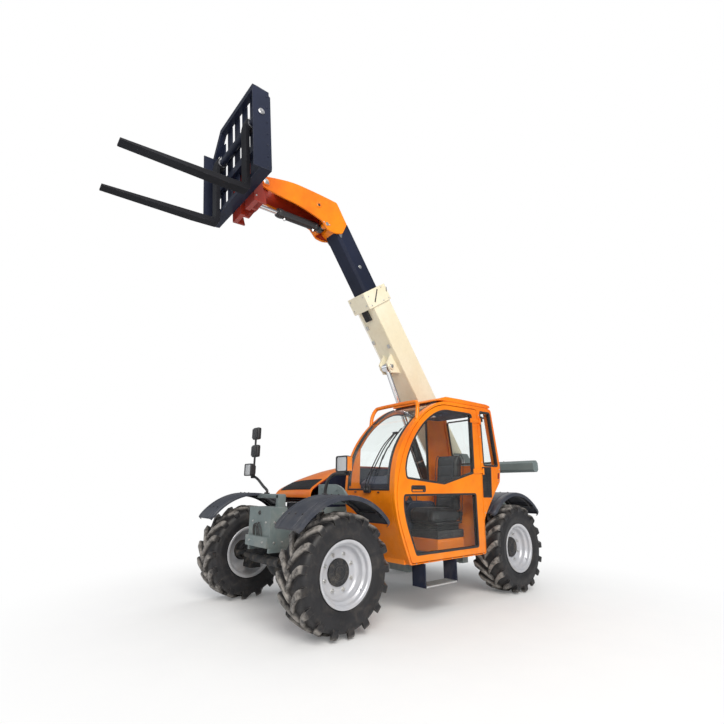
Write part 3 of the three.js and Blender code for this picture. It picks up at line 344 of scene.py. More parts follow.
def metal(name, color, rough, brushed, scratch, dirt, dust_top=1.2):
    """Bare or plated metal with drawn scratches, dull patches and grime."""
    s = Shader(name)
    patch = s.noise(9, 5, 0.65)
    lines = s.noise(70, 4, 0.7, stretch=brushed)
    base = s.mix(s.ramp(lines, 0.35, 0.7, 0, scratch), color, scaled(color, 0.6))
    low = s.ramp(s.height_of(), 0.1, dust_top, 1.0, 0.35)
    film = s.math("MULTIPLY", s.math("MULTIPLY", low, s.ramp(patch, 0.48, 0.78)), dirt, True)
    base = s.mix(film, base, TARNISH)
    gloss = s.math("ADD", s.ramp(lines, 0.2, 0.8, rough - 0.07, rough + 0.12),
                   s.math("MULTIPLY", film, 0.5), True)
    clean = s.math("SUBTRACT", 1.0, film, True)
    return s.surface(base, gloss, s.bump(lines, 0.08, 0.0008), clean)


def cast(name, color, rough=0.6, metallic=0.25, dirt=0.5):
    """Rough casting under thin paint, oily and dusty."""
    s = Shader(name)
    lump = s.noise(38, 5, 0.68)
    base = s.mix(s.ramp(s.noise(4.5, 4), 0.3, 0.7), color, scaled(color, 0.6))
    oil = s.ramp(s.noise(6.5, 6, 0.7, distort=1.0), 0.5, 0.66, 0, 0.55)
    base = s.mix(oil, base, OIL)
    low = s.ramp(s.height_of(), 0.1, 1.0, 1.0, 0.25)
    film = s.math("MULTIPLY", s.math("MULTIPLY", low, s.ramp(s.noise(12, 6, 0.7), 0.45, 0.75)), dirt, True)
    base = s.mix(film, base, MUD)
    base = s.mix(s.math("MULTIPLY", s.edges(0.006), 0.3), base, (0.30, 0.28, 0.26))
    gloss = s.math("SUBTRACT", s.ramp(lump, 0.2, 0.8, rough - 0.05, rough + 0.2),
                   s.math("MULTIPLY", oil, 0.35), True)
    return s.surface(base, gloss, s.bump(lump, 0.35, 0.0022), metallic)


def rubber(name, color, muddy, tread=0.0):
    """Tyre rubber: bloom, fine cracks, dried mud that stays in the tread and shoulder; tread tops paler, part
    wear and part painted highlight.
    """
    s = Shader(name)
    bloom = s.ramp(s.noise(6, 5, 0.65), 0.35, 0.75)
    base = s.mix(bloom, color, scaled(color, 1.8))
    caked = s.math("MULTIPLY", s.ramp(s.noise(9, 7, 0.72, distort=0.8), 0.44, 0.72), muddy, True)
    base = s.mix(caked, base, DRIED_MUD)
    scuffed = s.math("MULTIPLY", s.edges(0.008, 0.03, 0.3), 0.5)
    base = s.mix(scuffed, base, (0.17, 0.155, 0.14))
    # Paler tops on the tread: part wear, part painted highlight on the lugs.
    if tread:
        worn = s.math("MULTIPLY", s.ramp(s.from_axle(), 0.398, 0.429),
                      s.ramp(s.noise(14, 6, 0.7), 0.34, 0.62))
        base = s.mix(s.math("MULTIPLY", worn, tread), base, WORN_RUBBER_AND_HIGHLIGHT)
    fine = s.noise(150, 5, 0.7)
    gloss = s.math("ADD", s.ramp(fine, 0.3, 0.7, 0.46, 0.62), s.math("MULTIPLY", caked, 0.3), True)
    normal = s.bump(fine, 0.2, 0.001, s.bump(s.noise(22, 5, 0.7), 0.3, 0.004))
    return s.surface(base, gloss, normal, 0.0)


def vinyl(name, color):
    """Seat vinyl: pebbled grain, creases darkened as painted shade, and polished, slightly greyed contact
    areas.
    """
    s = Shader(name)
    worn = s.ramp(s.noise(7, 5, 0.6), 0.4, 0.7)
    base = s.mix(worn, color, scaled(color, 1.7, 0.012))
    crease_and_shade = s.ramp(s.cells(24, "DISTANCE_TO_EDGE", stretch=(1, 1, 2)), 0.0, 0.05)
    # The creases are darkened to half the colour: painted shade.
    base = s.mix(crease_and_shade, scaled(color, 0.5), base)
    pebble = s.cells(520, "SMOOTH_F1")
    gloss = s.ramp(worn, 0, 1, 0.56, 0.4)
    normal = s.bump(pebble, 0.35, 0.0007, s.bump(crease_and_shade, 0.1, 0.001))
    return s.surface(base, gloss, normal, 0.0, Sheen_Weight=0.08)


def woven(name, color):
    """Woven cloth for the seat's middle panels."""
    s = Shader(name)
    turned = s.stretched((1, 1, 1), (0.0, 0.0, 0.785))
    weave = s.math("MAXIMUM", s.wave(260, "X", 0.3, turned), s.wave(260, "Y", 0.3, turned))
    base = s.mix(weave, scaled(color, 0.55), color)
    base = s.mix(s.ramp(s.noise(9, 4), 0.4, 0.75, 0, 0.3), base, scaled(color, 1.6, 0.01))
    return s.surface(base, 0.85, s.bump(weave, 0.4, 0.0008), 0.0, Sheen_Weight=0.2)


def glass(name, tint):
    """Cab glass: clear with a faint tint, a clean reflection, a patchy film of dust and dried drops."""
    s = Shader(name)
    clear = s.node("ShaderNodeBsdfTransparent")
    s.link(s.mix(0.12, (1, 1, 1), tint), clear.inputs["Color"])
    shine = s.node("ShaderNodeBsdfGlossy")
    shine.inputs["Color"].default_value = (0.95, 0.98, 1, 1)
    s.link(s.ramp(s.noise(30, 4), 0.3, 0.8, 0.015, 0.06), shine.inputs["Roughness"])
    fresnel = s.node("ShaderNodeFresnel")
    fresnel.inputs["IOR"].default_value = 1.45
    first = s.node("ShaderNodeMixShader")
    outside = s.math("SUBTRACT", 1.0, s.node("ShaderNodeNewGeometry").outputs["Backfacing"])
    s.link(s.math("MULTIPLY", fresnel.outputs[0], outside, True), first.inputs[0])
    s.link(clear.outputs[0], first.inputs[1])
    s.link(shine.outputs[0], first.inputs[2])
    dusty = s.node("ShaderNodeBsdfDiffuse")
    dusty.inputs["Color"].default_value = (*DUST, 1)
    film = s.ramp(s.noise(8, 7, 0.7, distort=0.4), 0.45, 0.85, 0.0, 0.035)
    drops = s.ramp(s.cells(90, "F1"), 0.0, 0.12, 0.05, 0.0)
    last = s.node("ShaderNodeMixShader")
    s.link(s.math("ADD", film, drops, True), last.inputs[0])
    s.link(first.outputs[0], last.inputs[1])
    s.link(dusty.outputs[0], last.inputs[2])
    s.link(last.outputs[0], s.out.inputs["Surface"])
    return s.mat


def lens(name, color, glow, ribs, rough=0.12, metallic=0.0):
    """A moulded lamp lens: vertical prisms under a glossy face."""
    s = Shader(name)
    prism = s.wave(ribs)
    base = s.mix(prism, color, scaled(color, 0.7))
    base = s.mix(s.ramp(s.noise(40, 4), 0.5, 0.8, 0, 0.2), base, DUST)
    gloss = s.ramp(s.noise(30, 3), 0.3, 0.7, rough, rough + 0.1)
    return s.surface(base, gloss, s.bump(prism, 0.5, 0.002), metallic, Coat_Weight=0.8, Coat_Roughness=0.04,
                     Emission_Color=(*color, 1), Emission_Strength=glow)


ORANGE = paint("orange_paint", (0.94, 0.255, 0.003), (0.82, 0.155, 0.001), 0.34, 0.2, dust=0.07,
               chips=0.3, specular=0.34)
CREAM = paint("cream_paint", (0.89, 0.84, 0.66), (0.83, 0.75, 0.54), 0.34, 0.2, dust=0.16, dust_top=3.5,
              chips=0.55, bare=(0.12, 0.08, 0.06))
DARK = paint("dark_paint", (0.015, 0.020, 0.044), (0.010, 0.014, 0.030), 0.42, 0.06, dust=0.08,
             dust_top=2.0, chips=0.4, bare=(0.26, 0.26, 0.27), specular=0.2)
CHASSIS = paint("chassis_paint", (0.185, 0.232, 0.235), (0.150, 0.190, 0.192), 0.42, 0.15, dust=0.45,
                chips=0.45, bare=(0.14, 0.12, 0.11))
BLACK = paint("black_paint", (0.026, 0.026, 0.030), (0.018, 0.018, 0.020), 0.38, 0.2, dust=0.25,
              chips=0.5, bare=(0.30, 0.29, 0.28))
# A deep red, a darker copy of the orange; where it lines the hood's underside and the boom head's inner faces
# it is painted shade.
RED = paint("red_paint", (0.40, 0.030, 0.010), (0.26, 0.018, 0.008), 0.34, 0.3, dust=0.15, chips=0.5)
RIM = paint("rim_paint", (0.66, 0.67, 0.70), (0.52, 0.53, 0.57), 0.28, 0.35, dust=0.4, dust_top=0.9,
            chips=0.3, metallic=0.25)
FORK = paint("fork_paint", (0.014, 0.015, 0.020), (0.010, 0.010, 0.013), 0.5, 0.0, dust=0.1, dust_top=3.0,
             chips=0.8, bare=(0.26, 0.25, 0.25), specular=0.14)
CHROME = metal("chrome_rod", (0.86, 0.87, 0.89), 0.12, (1, 0.05, 0.05), 0.12, 0.15, dust_top=3.0)
ZINC = metal("zinc_bolt", (0.66, 0.66, 0.65), 0.34, (1, 1, 1), 0.3, 0.4)
STEEL = metal("bright_steel", (0.56, 0.56, 0.58), 0.3, (1, 0.2, 1), 0.35, 0.4)
IRON = cast("cast_iron", (0.034, 0.036, 0.041))
ENGINE = cast("engine_iron", (0.10, 0.115, 0.125), 0.5, 0.3, 0.25)
TYRE = rubber("tyre_rubber", (0.010, 0.010, 0.012), 0.26, tread=0.8)
SEAL = rubber("rubber_seal", (0.016, 0.016, 0.018), 0.12)
HOSE = rubber("hose_rubber", (0.020, 0.020, 0.022), 0.2)
FENDER = plastic("fender_plastic", (0.036, 0.042, 0.060), 0.42, 700, 0.3, dust=0.18)
PLASTIC = plastic("black_plastic", (0.024, 0.025, 0.029), 0.45, 1000, 0.25, dust=0.2)
TRIM = plastic("dash_plastic", (0.045, 0.058, 0.095), 0.55, 900, 0.3, dust=0.15)
LINER = plastic("liner_plastic", (0.052, 0.066, 0.105), 0.7, 500, 0.4, dust=0.0)
GRILLE = plastic("grille_plastic", (0.014, 0.015, 0.018), 0.5, 1200, 0.2, dust=0.2)
VINYL = vinyl("seat_vinyl", (0.022, 0.023, 0.026))
CLOTH = woven("seat_cloth", (0.050, 0.053, 0.062))
GLASS = glass("cab_glass", (0.80, 0.93, 0.90))
CLEAR_LENS = lens("clear_lens", (0.86, 0.88, 0.90), 0.12, 300, 0.1, metallic=0.35)
AMBER_LENS = lens("amber_lens", (0.95, 0.26, 0.02), 0.05, 420)
RED_LENS = lens("red_lens", (0.50, 0.012, 0.010), 0.05, 420)
MIRROR = metal("mirror_face", (0.9, 0.92, 0.94), 0.08, (1, 1, 1), 0.02, 0.1)

# The CAD slot that each material stands in; lenses and mirrors have none.
SLOT_OF = {ORANGE: "orange_paint", CREAM: "cream_paint", DARK: "dark_paint", CHASSIS: "chassis_paint",
           BLACK: "black_paint", RED: "red_paint", RIM: "rim_paint", FORK: "black_paint",
           CHROME: "chrome_rod", ZINC: "black_paint", STEEL: "black_paint",
           IRON: "cast_iron", ENGINE: "cast_iron",
           TYRE: "tyre_rubber", SEAL: "black_plastic", HOSE: "black_plastic", FENDER: "fender_plastic",
           PLASTIC: "black_plastic", TRIM: "black_plastic", LINER: "black_plastic", GRILLE: "black_plastic",
           VINYL: "seat_vinyl", GLASS: "cab_glass"}


# ---------------------------------------------------------------- mesh making

def finish_piece(obj, mats, body, slot, smooth=None, weighted=False):
    if obj.data.materials:
        obj.data.materials.clear()
    for mat in mats:
        obj.data.materials.append(mat)
    if smooth is not None:
        obj.data.shade_smooth()
        obj.data.set_sharp_from_angle(angle=math.radians(smooth))
    if weighted:
        modifier = obj.modifiers.new("normals", "WEIGHTED_NORMAL")
        modifier.keep_sharp = True
    if body:
        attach(obj, body)
        slot = slot or SLOT_OF.get(mats[0])


def make(name, points, faces, mats, body="chassis", slot=None, at=None, smooth=35,
         weighted=False, instead=None):
    """One piece from points in its body's working frame; instead names the CAD node that it replaces."""
    at = at or FRAMES.get(body, MACHINE)
    mesh = bpy.data.meshes.new(name)
    mesh.from_pydata([tuple(at @ Vector(p)) for p in points], [], faces)
    mesh.validate()
    bm = bmesh.new()
    bm.from_mesh(mesh)
    bmesh.ops.recalc_face_normals(bm, faces=bm.faces)
    bm.to_mesh(mesh)
    bm.free()
    obj = bpy.data.objects.new(name, mesh)
    bpy.context.scene.collection.objects.link(obj)
    finish_piece(obj, mats, body, slot, smooth, weighted)
    if instead:
        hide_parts(instead)
    return obj


def ring_faces(rows, size, closed=False, capped=True):
    """Faces over rows of points, each row a ring of the same size."""
    faces = []
    for j in range(rows if closed else rows - 1):
        one, two = j * size, (j + 1) % rows * size
        faces += [(one + k, one + (k + 1) % size, two + (k + 1) % size, two + k) for k in range(size)]
    if capped and not closed:
        faces += [tuple(reversed(range(size))), tuple((rows - 1) * size + k for k in range(size))]
    return faces


def grid_faces(rows, cols):
    """Faces over an open grid of points."""
    return [(j * cols + i, j * cols + i + 1, (j + 1) * cols + i + 1, (j + 1) * cols + i)
            for j in range(rows - 1) for i in range(cols - 1)]


class Soup:
    """Several closed shapes gathered into one piece."""

    def __init__(self):
        self.points, self.faces = [], []

    def add(self, points, faces):
        start = len(self.points)
        self.points += [tuple(p) for p in points]
        self.faces += [tuple(start + i for i in f) for f in faces]

    def box(self, x0, x1, y0, y1, z0, z1, bevel=2.0, turn=None):
        """A box with rounded edges."""
        b = min(bevel, (x1 - x0) * 0.45, (y1 - y0) * 0.45, (z1 - z0) * 0.45)
        points, faces = rounded_box(x1 - x0, y1 - y0, z1 - z0, b)
        centre = Vector(((x0 + x1) / 2, (y0 + y1) / 2, (z0 + z1) / 2))
        turn = turn or Matrix.Identity(3)
        self.add([centre + turn @ p for p in points], faces)

    def tube(self, path, radius, sides=12, closed=False):
        self.add(*tube_mesh(path, radius, sides, closed))

    def turned(self, profile, centre, axis="X", segments=32):
        self.add(*turned_mesh(profile, centre, axis, segments))

    def slab(self, outline, d0, d1, plane="side", holes=(), bevel=2.0):
        self.add(*slab_mesh(outline, d0, d1, plane, holes, bevel))

    def bolt(self, centre, axis, size=10.0, height=7.0, washer=True):
        """A hexagon head on a washer, standing out along axis."""
        centre, axis = Vector(centre), Vector(axis).normalized()
        turn = Vector((0, 0, 1)).rotation_difference(axis).to_matrix()
        head = [(size * 0.92, 0), (size * 0.92, height * 0.8), (size * 0.72, height)]
        shapes = [(head, 6, 1 if washer else 0)]
        if washer:
            shapes.insert(0, ([(size * 1.1, 0), (size * 1.1, 1.2)], 16, 0))
        for profile, sides, lift in shapes:
            points = [centre + turn @ Vector((x, y,
                                              h + lift)) for r, h in profile for x, y in around(sides, r)]
            self.add(points, ring_faces(len(profile), sides))

    def piece(self, name, mat, body="chassis", slot=None, at=None, smooth=35, weighted=False, instead=None):
        return make(name, self.points, self.faces, [mat], body, slot, at, smooth, weighted, instead)


def rounded_box(dx, dy, dz, b):
    """Box with each edge rounded in two steps."""
    bm = bmesh.new()
    bmesh.ops.create_cube(bm, size=1.0)
    for v in bm.verts:
        v.co = Vector((v.co.x * dx, v.co.y * dy, v.co.z * dz))
    if b > 0.05:
        bmesh.ops.bevel(bm, geom=bm.edges[:], offset=b, segments=2, profile=0.6, affect="EDGES")
    bm.verts.index_update()
    points = [v.co.copy() for v in bm.verts]
    faces = [tuple(v.index for v in f.verts) for f in bm.faces]
    bm.free()
    return points, faces


def smooth_path(points, steps=8):
    """A Catmull-Rom curve through points."""
    pts = [Vector(p) for p in points]
    if len(pts) < 3:
        return pts
    ext = [pts[0] * 2 - pts[1]] + pts + [pts[-1] * 2 - pts[-2]]
    out = []
    for i in range(1, len(ext) - 2):
        p0, p1, p2, p3 = ext[i - 1:i + 3]
        for k in range(steps):
            t = k / steps
            out.append(0.5 * ((2 * p1) + (p2 - p0) * t + (2 * p0 - 5 * p1 + 4 * p2 - p3) * t * t
                              + (3 * p1 - p0 - 3 * p2 + p3) * t ** 3))
    out.append(pts[-1])
    return out


def bend(corner, start, end, steps):
    """A curve from start to end that rounds a corner."""
    ts = [k / steps for k in range(steps + 1)]
    return [(1 - t) ** 2 * start + 2 * t * (1 - t) * corner + t * t * end for t in ts]


def bent_path(points, radius=40.0):
    """Straight runs with rounded bends."""
    pts = [Vector(p) for p in points]
    out = [pts[0]]
    for a, b, c in zip(pts, pts[1:], pts[2:]):
        one, two = (a - b), (c - b)
        r = min(radius, one.length * 0.48, two.length * 0.48)
        out += bend(b, b + one.normalized() * r, b + two.normalized() * r, 6)
    out.append(pts[-1])
    return out


def tube_mesh(path, radius, sides, closed):
    """A round tube along a path; radius is one number, or one for each point."""
    pts = [Vector(p) for p in path]
    n = len(pts)
    radii = radius if isinstance(radius, (list, tuple)) else [radius] * n
    tangents = []
    for i in range(n):
        a, b = (pts[i - 1], pts[(i + 1) % n]) if closed else (pts[max(0, i - 1)], pts[min(n - 1, i + 1)])
        tangents.append((b - a).normalized())
    up = Vector((0, 0, 1)) if abs(tangents[0].z) < 0.9 else Vector((0, 1, 0))
    side = tangents[0].cross(up).normalized()
    points = []
    for i in range(n):
        t = tangents[i]
        side = (side - t * side.dot(t)).normalized()
        other = t.cross(side)
        points += [pts[i] + side * a + other * b for a, b in around(sides, radii[i])]
    return points, ring_faces(n, sides, closed)


def turned_mesh(profile, centre, axis, segments):
    """A (radius, distance) profile turned about an axis; a radius of 0 closes the end."""
    cx, cy, cz = centre
    points, faces, rings = [], [], []
    for r, d in profile:
        if r < 1e-6:
            rings.append([len(points)] * segments)
            points.append((0, 0, d))
        else:
            rings.append(range(len(points), len(points) + segments))
            points += [(a, b, d) for a, b in around(segments, r)]
    for one, two in zip(rings, rings[1:]):
        for k in range(segments):
            m = (k + 1) % segments
            quad = [one[k], one[m], two[m], two[k]]
            face = [q for i, q in enumerate(quad) if q not in quad[:i]]
            if len(face) > 2:
                faces.append(tuple(face))
    put = {"X": lambda p: (cx + p[2], cy + p[0], cz + p[1]),
           "Y": lambda p: (cx + p[1], cy + p[2], cz + p[0]),
           "Z": lambda p: (cx + p[0], cy + p[1], cz + p[2])}[axis]
    return [put(p) for p in points], faces


def anticlockwise(points):
    """An outline as vectors, turned to run anticlockwise."""
    pts = [Vector(p) for p in points]
    area = sum(p.x * q.y - q.x * p.y for p, q in zip(pts, pts[1:] + pts[:1]))
    return pts if area > 0 else pts[::-1]


def rounded(points, corner=12.0, soft=36.0, steps=5):
    """An outline with its corners rounded.

    A corner that turns less than soft becomes part of one smooth curve; a sharper one gets a small radius.
    """
    pts = [Vector(p) for p in points]
    n = len(pts)
    out = []
    for i in range(n):
        a, b, c = pts[i - 1], pts[i], pts[(i + 1) % n]
        one, two = a - b, c - b
        turn = 180 - math.degrees(one.angle(two)) if one.length > 1e-6 and two.length > 1e-6 else 0
        if turn < 1:
            out.append(b)
            continue
        short = min(one.length, two.length)
        r = short * 0.5 if turn < soft else min(corner * math.tan(math.radians(turn / 2)), short * 0.45)
        out += bend(b, b + one.normalized() * r, b + two.normalized() * r, steps)
    clean = []
    for p in out:
        if not clean or (p - clean[-1]).length > 0.4:
            clean.append(p)
    if (clean[0] - clean[-1]).length <= 0.4:
        clean.pop()
    return anticlockwise(clean)


def rounded_rect(low_a, high_a, low_b, high_b, corner):
    return rounded([(low_a, low_b), (high_a, low_b), (high_a, high_b), (low_a, high_b)], corner)


def offset(outline, d):
    """The outline, anticlockwise, moved in by d (out, if negative)."""
    out = []
    for a, b, c in zip(outline[-1:] + outline[:-1], outline, outline[1:] + outline[:1]):
        one = (b - a).normalized()
        two = (c - b).normalized()
        normal = Vector((-one.y - two.y, one.x + two.x))
        if normal.length < 1e-6:
            normal = Vector((-one.y, one.x))
        normal.normalize()
        reach = d / max(0.35, -one.y * normal.x + one.x * normal.y)
        out.append(b + normal * reach)
    return out


def slab_mesh(outline, d0, d1, plane, holes, bevel):
    """A plate cut to an outline, with holes, rounded along its rims.

    The outline is (y, z) over x for a side plate, (x, z) over y for a front one, (x, y) over z for a top one.
    """
    b = min(bevel, (d1 - d0) * 0.45)
    steps = [(b, 0.0), (b * 0.3, b * 0.3), (0.0, b)] if b > 0 else [(0.0, 0.0)]
    levels = [(i, d0 + h) for i, h in steps] + [(i, d1 - h) for i, h in reversed(steps)]
    loops = [(outline, 1)] + [(h, -1) for h in holes]
    points, faces, caps = [], [], []
    for loop, sign in loops:
        n = len(loop)
        start = len(points)
        for inward, depth in levels:
            ring = offset(loop, inward * sign) if inward else loop
            points += [(p.x, p.y, depth) for p in ring]
        for j in range(len(levels) - 1):
            for k in range(n):
                m = (k + 1) % n
                quad = (start + j * n + k, start + j * n + m,
                        start + (j + 1) * n + m, start + (j + 1) * n + k)
                faces.append(quad if sign > 0 else quad[::-1])
        caps.append((start, n))
    for level, flip in ((0, True), (len(levels) - 1, False)):
        polys, index = [], []
        for start, n in caps:
            ids = [start + level * n + k for k in range(n)]
            index += ids
            polys.append([Vector((points[i][0], points[i][1], 0)) for i in ids])
        for tri in tessellate_polygon(polys):
            face = tuple(index[i] for i in tri)
            pa, pb, pc = (Vector(points[i][:2]) for i in face)
            anticlock = (pb - pa).cross(pc - pa) > 0
            faces.append(face if anticlock != flip else face[::-1])
    put = {"side": lambda p: (p[2], p[0], p[1]), "front": lambda p: (p[0], p[2], p[1]),
           "top": lambda p: (p[0], p[1], p[2])}[plane]
    return [put(p) for p in points], faces


# ---------------------------------------------------------------- CAD nodes that stay

def keep(node, mat, bevel=3.0, segments=2, smooth=33, slot=None):
    """A CAD node shown as it is, with softened edges and a better material."""
    obj = NODES[node]
    finish_piece(obj, [mat], None, slot or SLOT_OF[mat], smooth)
    weld = obj.modifiers.new("weld", "WELD")
    weld.merge_threshold = 0.00002
    flat = obj.modifiers.new("flat", "DECIMATE")
    flat.decimate_type = "DISSOLVE"
    flat.angle_limit = math.radians(0.6)
    if bevel:
        soft = obj.modifiers.new("edges", "BEVEL")
        soft.width = bevel / 1000
        soft.segments = segments
        soft.limit_method = "ANGLE"
        soft.angle_limit = math.radians(34)
        soft.use_clamp_overlap = True
        soft.harden_normals = False
    even = obj.modifiers.new("normals", "WEIGHTED_NORMAL")
    even.keep_sharp = True


# ---------------------------------------------------------------- wheels

WHEELS = [(end, name, y, side) for end, y in (("front", FRONT), ("rear", REAR))
          for name, side in (("left", 1), ("right", -1))]
WHEEL_FACE = 950
TYRE_WIDTH = 331
TYRE_MIDDLE = TYRE_WIDTH / 2
TREAD_RADIUS = 434
LUGS = 17


def tyre(end, name, y, side):
    """A drive tyre: a smooth carcass with two staggered rows of curved bars that run over the shoulders."""
    half = [(224, 36), (240.5, 29), (247, 20), (256, 15), (262, 15.5), (268, 12), (300, 5), (318, 3.2),
            (324, 5), (342, 4), (362, 7), (380, 17), (391, 34), (397, 62), (400, 100),
            (401.5, 140), (402, 165.5)]
    profile = half + [(r, TYRE_WIDTH - d) for r, d in reversed(half[:-1])]
    soup = Soup()
    put = lambda r, d, a: (side * (WHEEL_FACE - d), y + r * math.cos(a), AXLE_Z + r * math.sin(a))
    n = 96
    points = [put(r, d, 2 * math.pi * k / n) for r, d in profile for k in range(n)]
    soup.add(points, ring_faces(len(profile), n, closed=True))
    # A bar's sections from the tread's middle outwards: distance out and radius of its top, then of its foot.
    stations = [(-8, 424, -15, 398), (2, 431.5, 0, 396), (26, 433.6, 26, 394), (60, 433.6, 60, 394),
                (96, 433.2, 96, 391), (128, 431, 124, 384), (149, 425.5, 136, 374), (161, 415, 144, 366),
                (165, 398, 150, 356), (163.4, 366, 152, 346)]
    for row, sign in ((0, 1), (1, -1)):
        for i in range(LUGS):
            a0 = 2 * math.pi * (i + 0.5 * row) / LUGS
            wobble = 1 + 0.03 * math.sin(i * 2.7 + row)
            points = []
            for u, r_top, u_base, r_base in stations:
                share = min(1.0, max(0.0, (u + 8) / 166))
                a = a0 - 0.37 * (1 - (1 - share) ** 1.55)
                wide = (19 + 9 * share) * wobble
                section = [(wide + 7, u_base, r_base), (wide + 1.5, u, r_top - 5), (wide - 4, u, r_top),
                           (-wide + 4, u, r_top), (-wide - 1.5, u, r_top - 5), (-wide - 7, u_base, r_base)]
                for t, lateral, r in section:
                    d = min(TYRE_WIDTH - 0.3, max(0.3, TYRE_MIDDLE - sign * lateral))
                    points.append(put(r, d, a + t / TREAD_RADIUS))
            soup.add(points, ring_faces(len(stations), 6))
    soup.piece(f"{end}_{name}_tyre_tread", TYRE, f"{end}_{name}_wheel", smooth=38,
               instead=f"{end}_{name}_tyre")


def rim(end, name, y, side):
    body = f"{end}_{name}_wheel"
    X = lambda d: side * (WHEEL_FACE - d)
    outer = [(96, 128), (150, 128), (160, 127), (172, 121), (181, 112), (187, 100), (189.5, 86),
             (190.5, 74), (196, 65), (206, 59), (210.5, 52), (211.5, 44), (211.5, 30), (215, 23),
             (224, 18.5), (233, 15.2), (237.5, 15), (239, 17.5), (239, 23), (234, 27.5), (226, 31),
             (222, 37), (222, 294), (226, 300), (234, 304), (239, 308), (239, 314), (236, 316.4),
             (228, 314), (214, 308), (208, 298), (202, 283), (200, 270), (200, 158), (192, 148),
             (165, 142), (96, 142), (96, 128)]
    soup = Soup()
    soup.turned([(r, X(d)) for r, d in outer], (0, y, AXLE_Z), "X", 96)
    valve = (X(54), y + 199 * cos(-38), AXLE_Z + 199 * sin(-38))
    soup.turned([(4.2, 0), (4.2, side * 22), (0, side * 22)], valve, "X", 12)
    soup.piece(f"{end}_{name}_rim_shell", RIM, body, smooth=40, instead=f"{end}_{name}_rim")
    nuts = Soup()
    for dy, dz in around(8, 133, 22.5):
        c = (X(128), y + dy, AXLE_Z + dz)
        nuts.turned([(17, 0), (17, side * 2), (13, side * 4.5), (0, side * 4.5)], c, "X", 20)
        nuts.bolt((c[0] + side * 4, c[1], c[2]), (side, 0, 0), 10.5, 11)
        nuts.turned(outward(side, [(5.5, 12), (5.5, 22), (4.5, 23.5), (0, 23.5)]), c, "X", 12)
    nuts.piece(f"{end}_{name}_wheel_nuts", ZINC, body, "cast_iron")
    hub = Soup()
    hub.turned([(0, X(215)), (84, X(215)), (88, X(150)), (96, X(141)), (98, X(139.0)), (99, X(119)),
                (95, X(112)), (84, X(107)), (80, X(104.5)), (60, X(102.5)), (57, X(106)), (40, X(106)),
                (37, X(101)), (30, X(100)), (0, X(100))], (0, y, AXLE_Z), "X", 64)
    for dy, dz in around(10, 72):
        hub.bolt((X(107), y + dy, AXLE_Z + dz), (side, 0, 0), 5.5, 4.5, washer=False)
    for dy, dz in around(3, 20, 22.918):
        hub.bolt((X(100), y + dy, AXLE_Z + dz), (side, 0, 0), 3.5, -1.0, washer=False)
    hub.piece(f"{end}_{name}_hub_cap", IRON, body, smooth=35)


for one in WHEELS:
    tyre(*one)
    rim(*one)


# ---------------------------------------------------------------- fenders and lamps

def arc_point(y, r, degrees):
    return y + r * sin(degrees), AXLE_Z + r * cos(degrees)


GUARD_RADIUS = 560
GUARD_MIDDLE = 775
GUARD_CORNER = 56
BRACE_RADIUS = 541


def guard_arc(end):
    """Where a guard starts and ends, in degrees from straight up; the front ones reach further forward."""
    return (-54 if end == "front" else -50), 54


def guard_skin(soup, y, side, arc0, arc1):
    """A moulded guard: two pressed grooves, rolled edges and rounded corners."""
    outer = [(600, -26), (600, -8), (602.5, -3.5), (608, -0.8), (648, 0), (653, -1), (656, -4), (670, -4),
             (673, -1), (678, 0), (775, 0), (872, 0), (877, -1), (880, -4), (894, -4), (897, -1), (902, 0),
             (928, -0.5), (940, -3), (947.5, -9), (950, -18), (950, -39)]
    inner = [(945, -39), (945, -19), (942, -12), (936, -8), (926, -6), (775, -5.6), (612, -6),
             (606.5, -9), (605.5, -26)]
    section = outer + inner
    half = WHEEL_FACE - GUARD_MIDDLE
    length = math.radians(arc1 - arc0) * GUARD_RADIUS
    marks = [0, 2, 5, 10, 18, 28, 40, GUARD_CORNER]
    flat = [GUARD_CORNER + (length - 2 * GUARD_CORNER) * k / 40 for k in range(1, 40)]
    marks += flat + [length - m for m in reversed(marks)]
    points = []
    for mark in marks:
        near = min(mark, length - mark, GUARD_CORNER)
        trim = GUARD_CORNER - math.sqrt(GUARD_CORNER ** 2 - (GUARD_CORNER - near) ** 2)
        drop = 6 * (1 - near / 10) ** 2 if near < 10 else 0
        angle = arc0 + math.degrees(mark / GUARD_RADIUS)
        for x, dr in section:
            wide = GUARD_MIDDLE + (x - GUARD_MIDDLE) * (half - trim * 0.62) / half
            points.append((side * wide, *arc_point(y, GUARD_RADIUS + dr - drop, angle)))
    soup.add(points, ring_faces(len(marks), len(section)))


SHELF = AXLE_Z + GUARD_RADIUS - 10
RAIL = 195


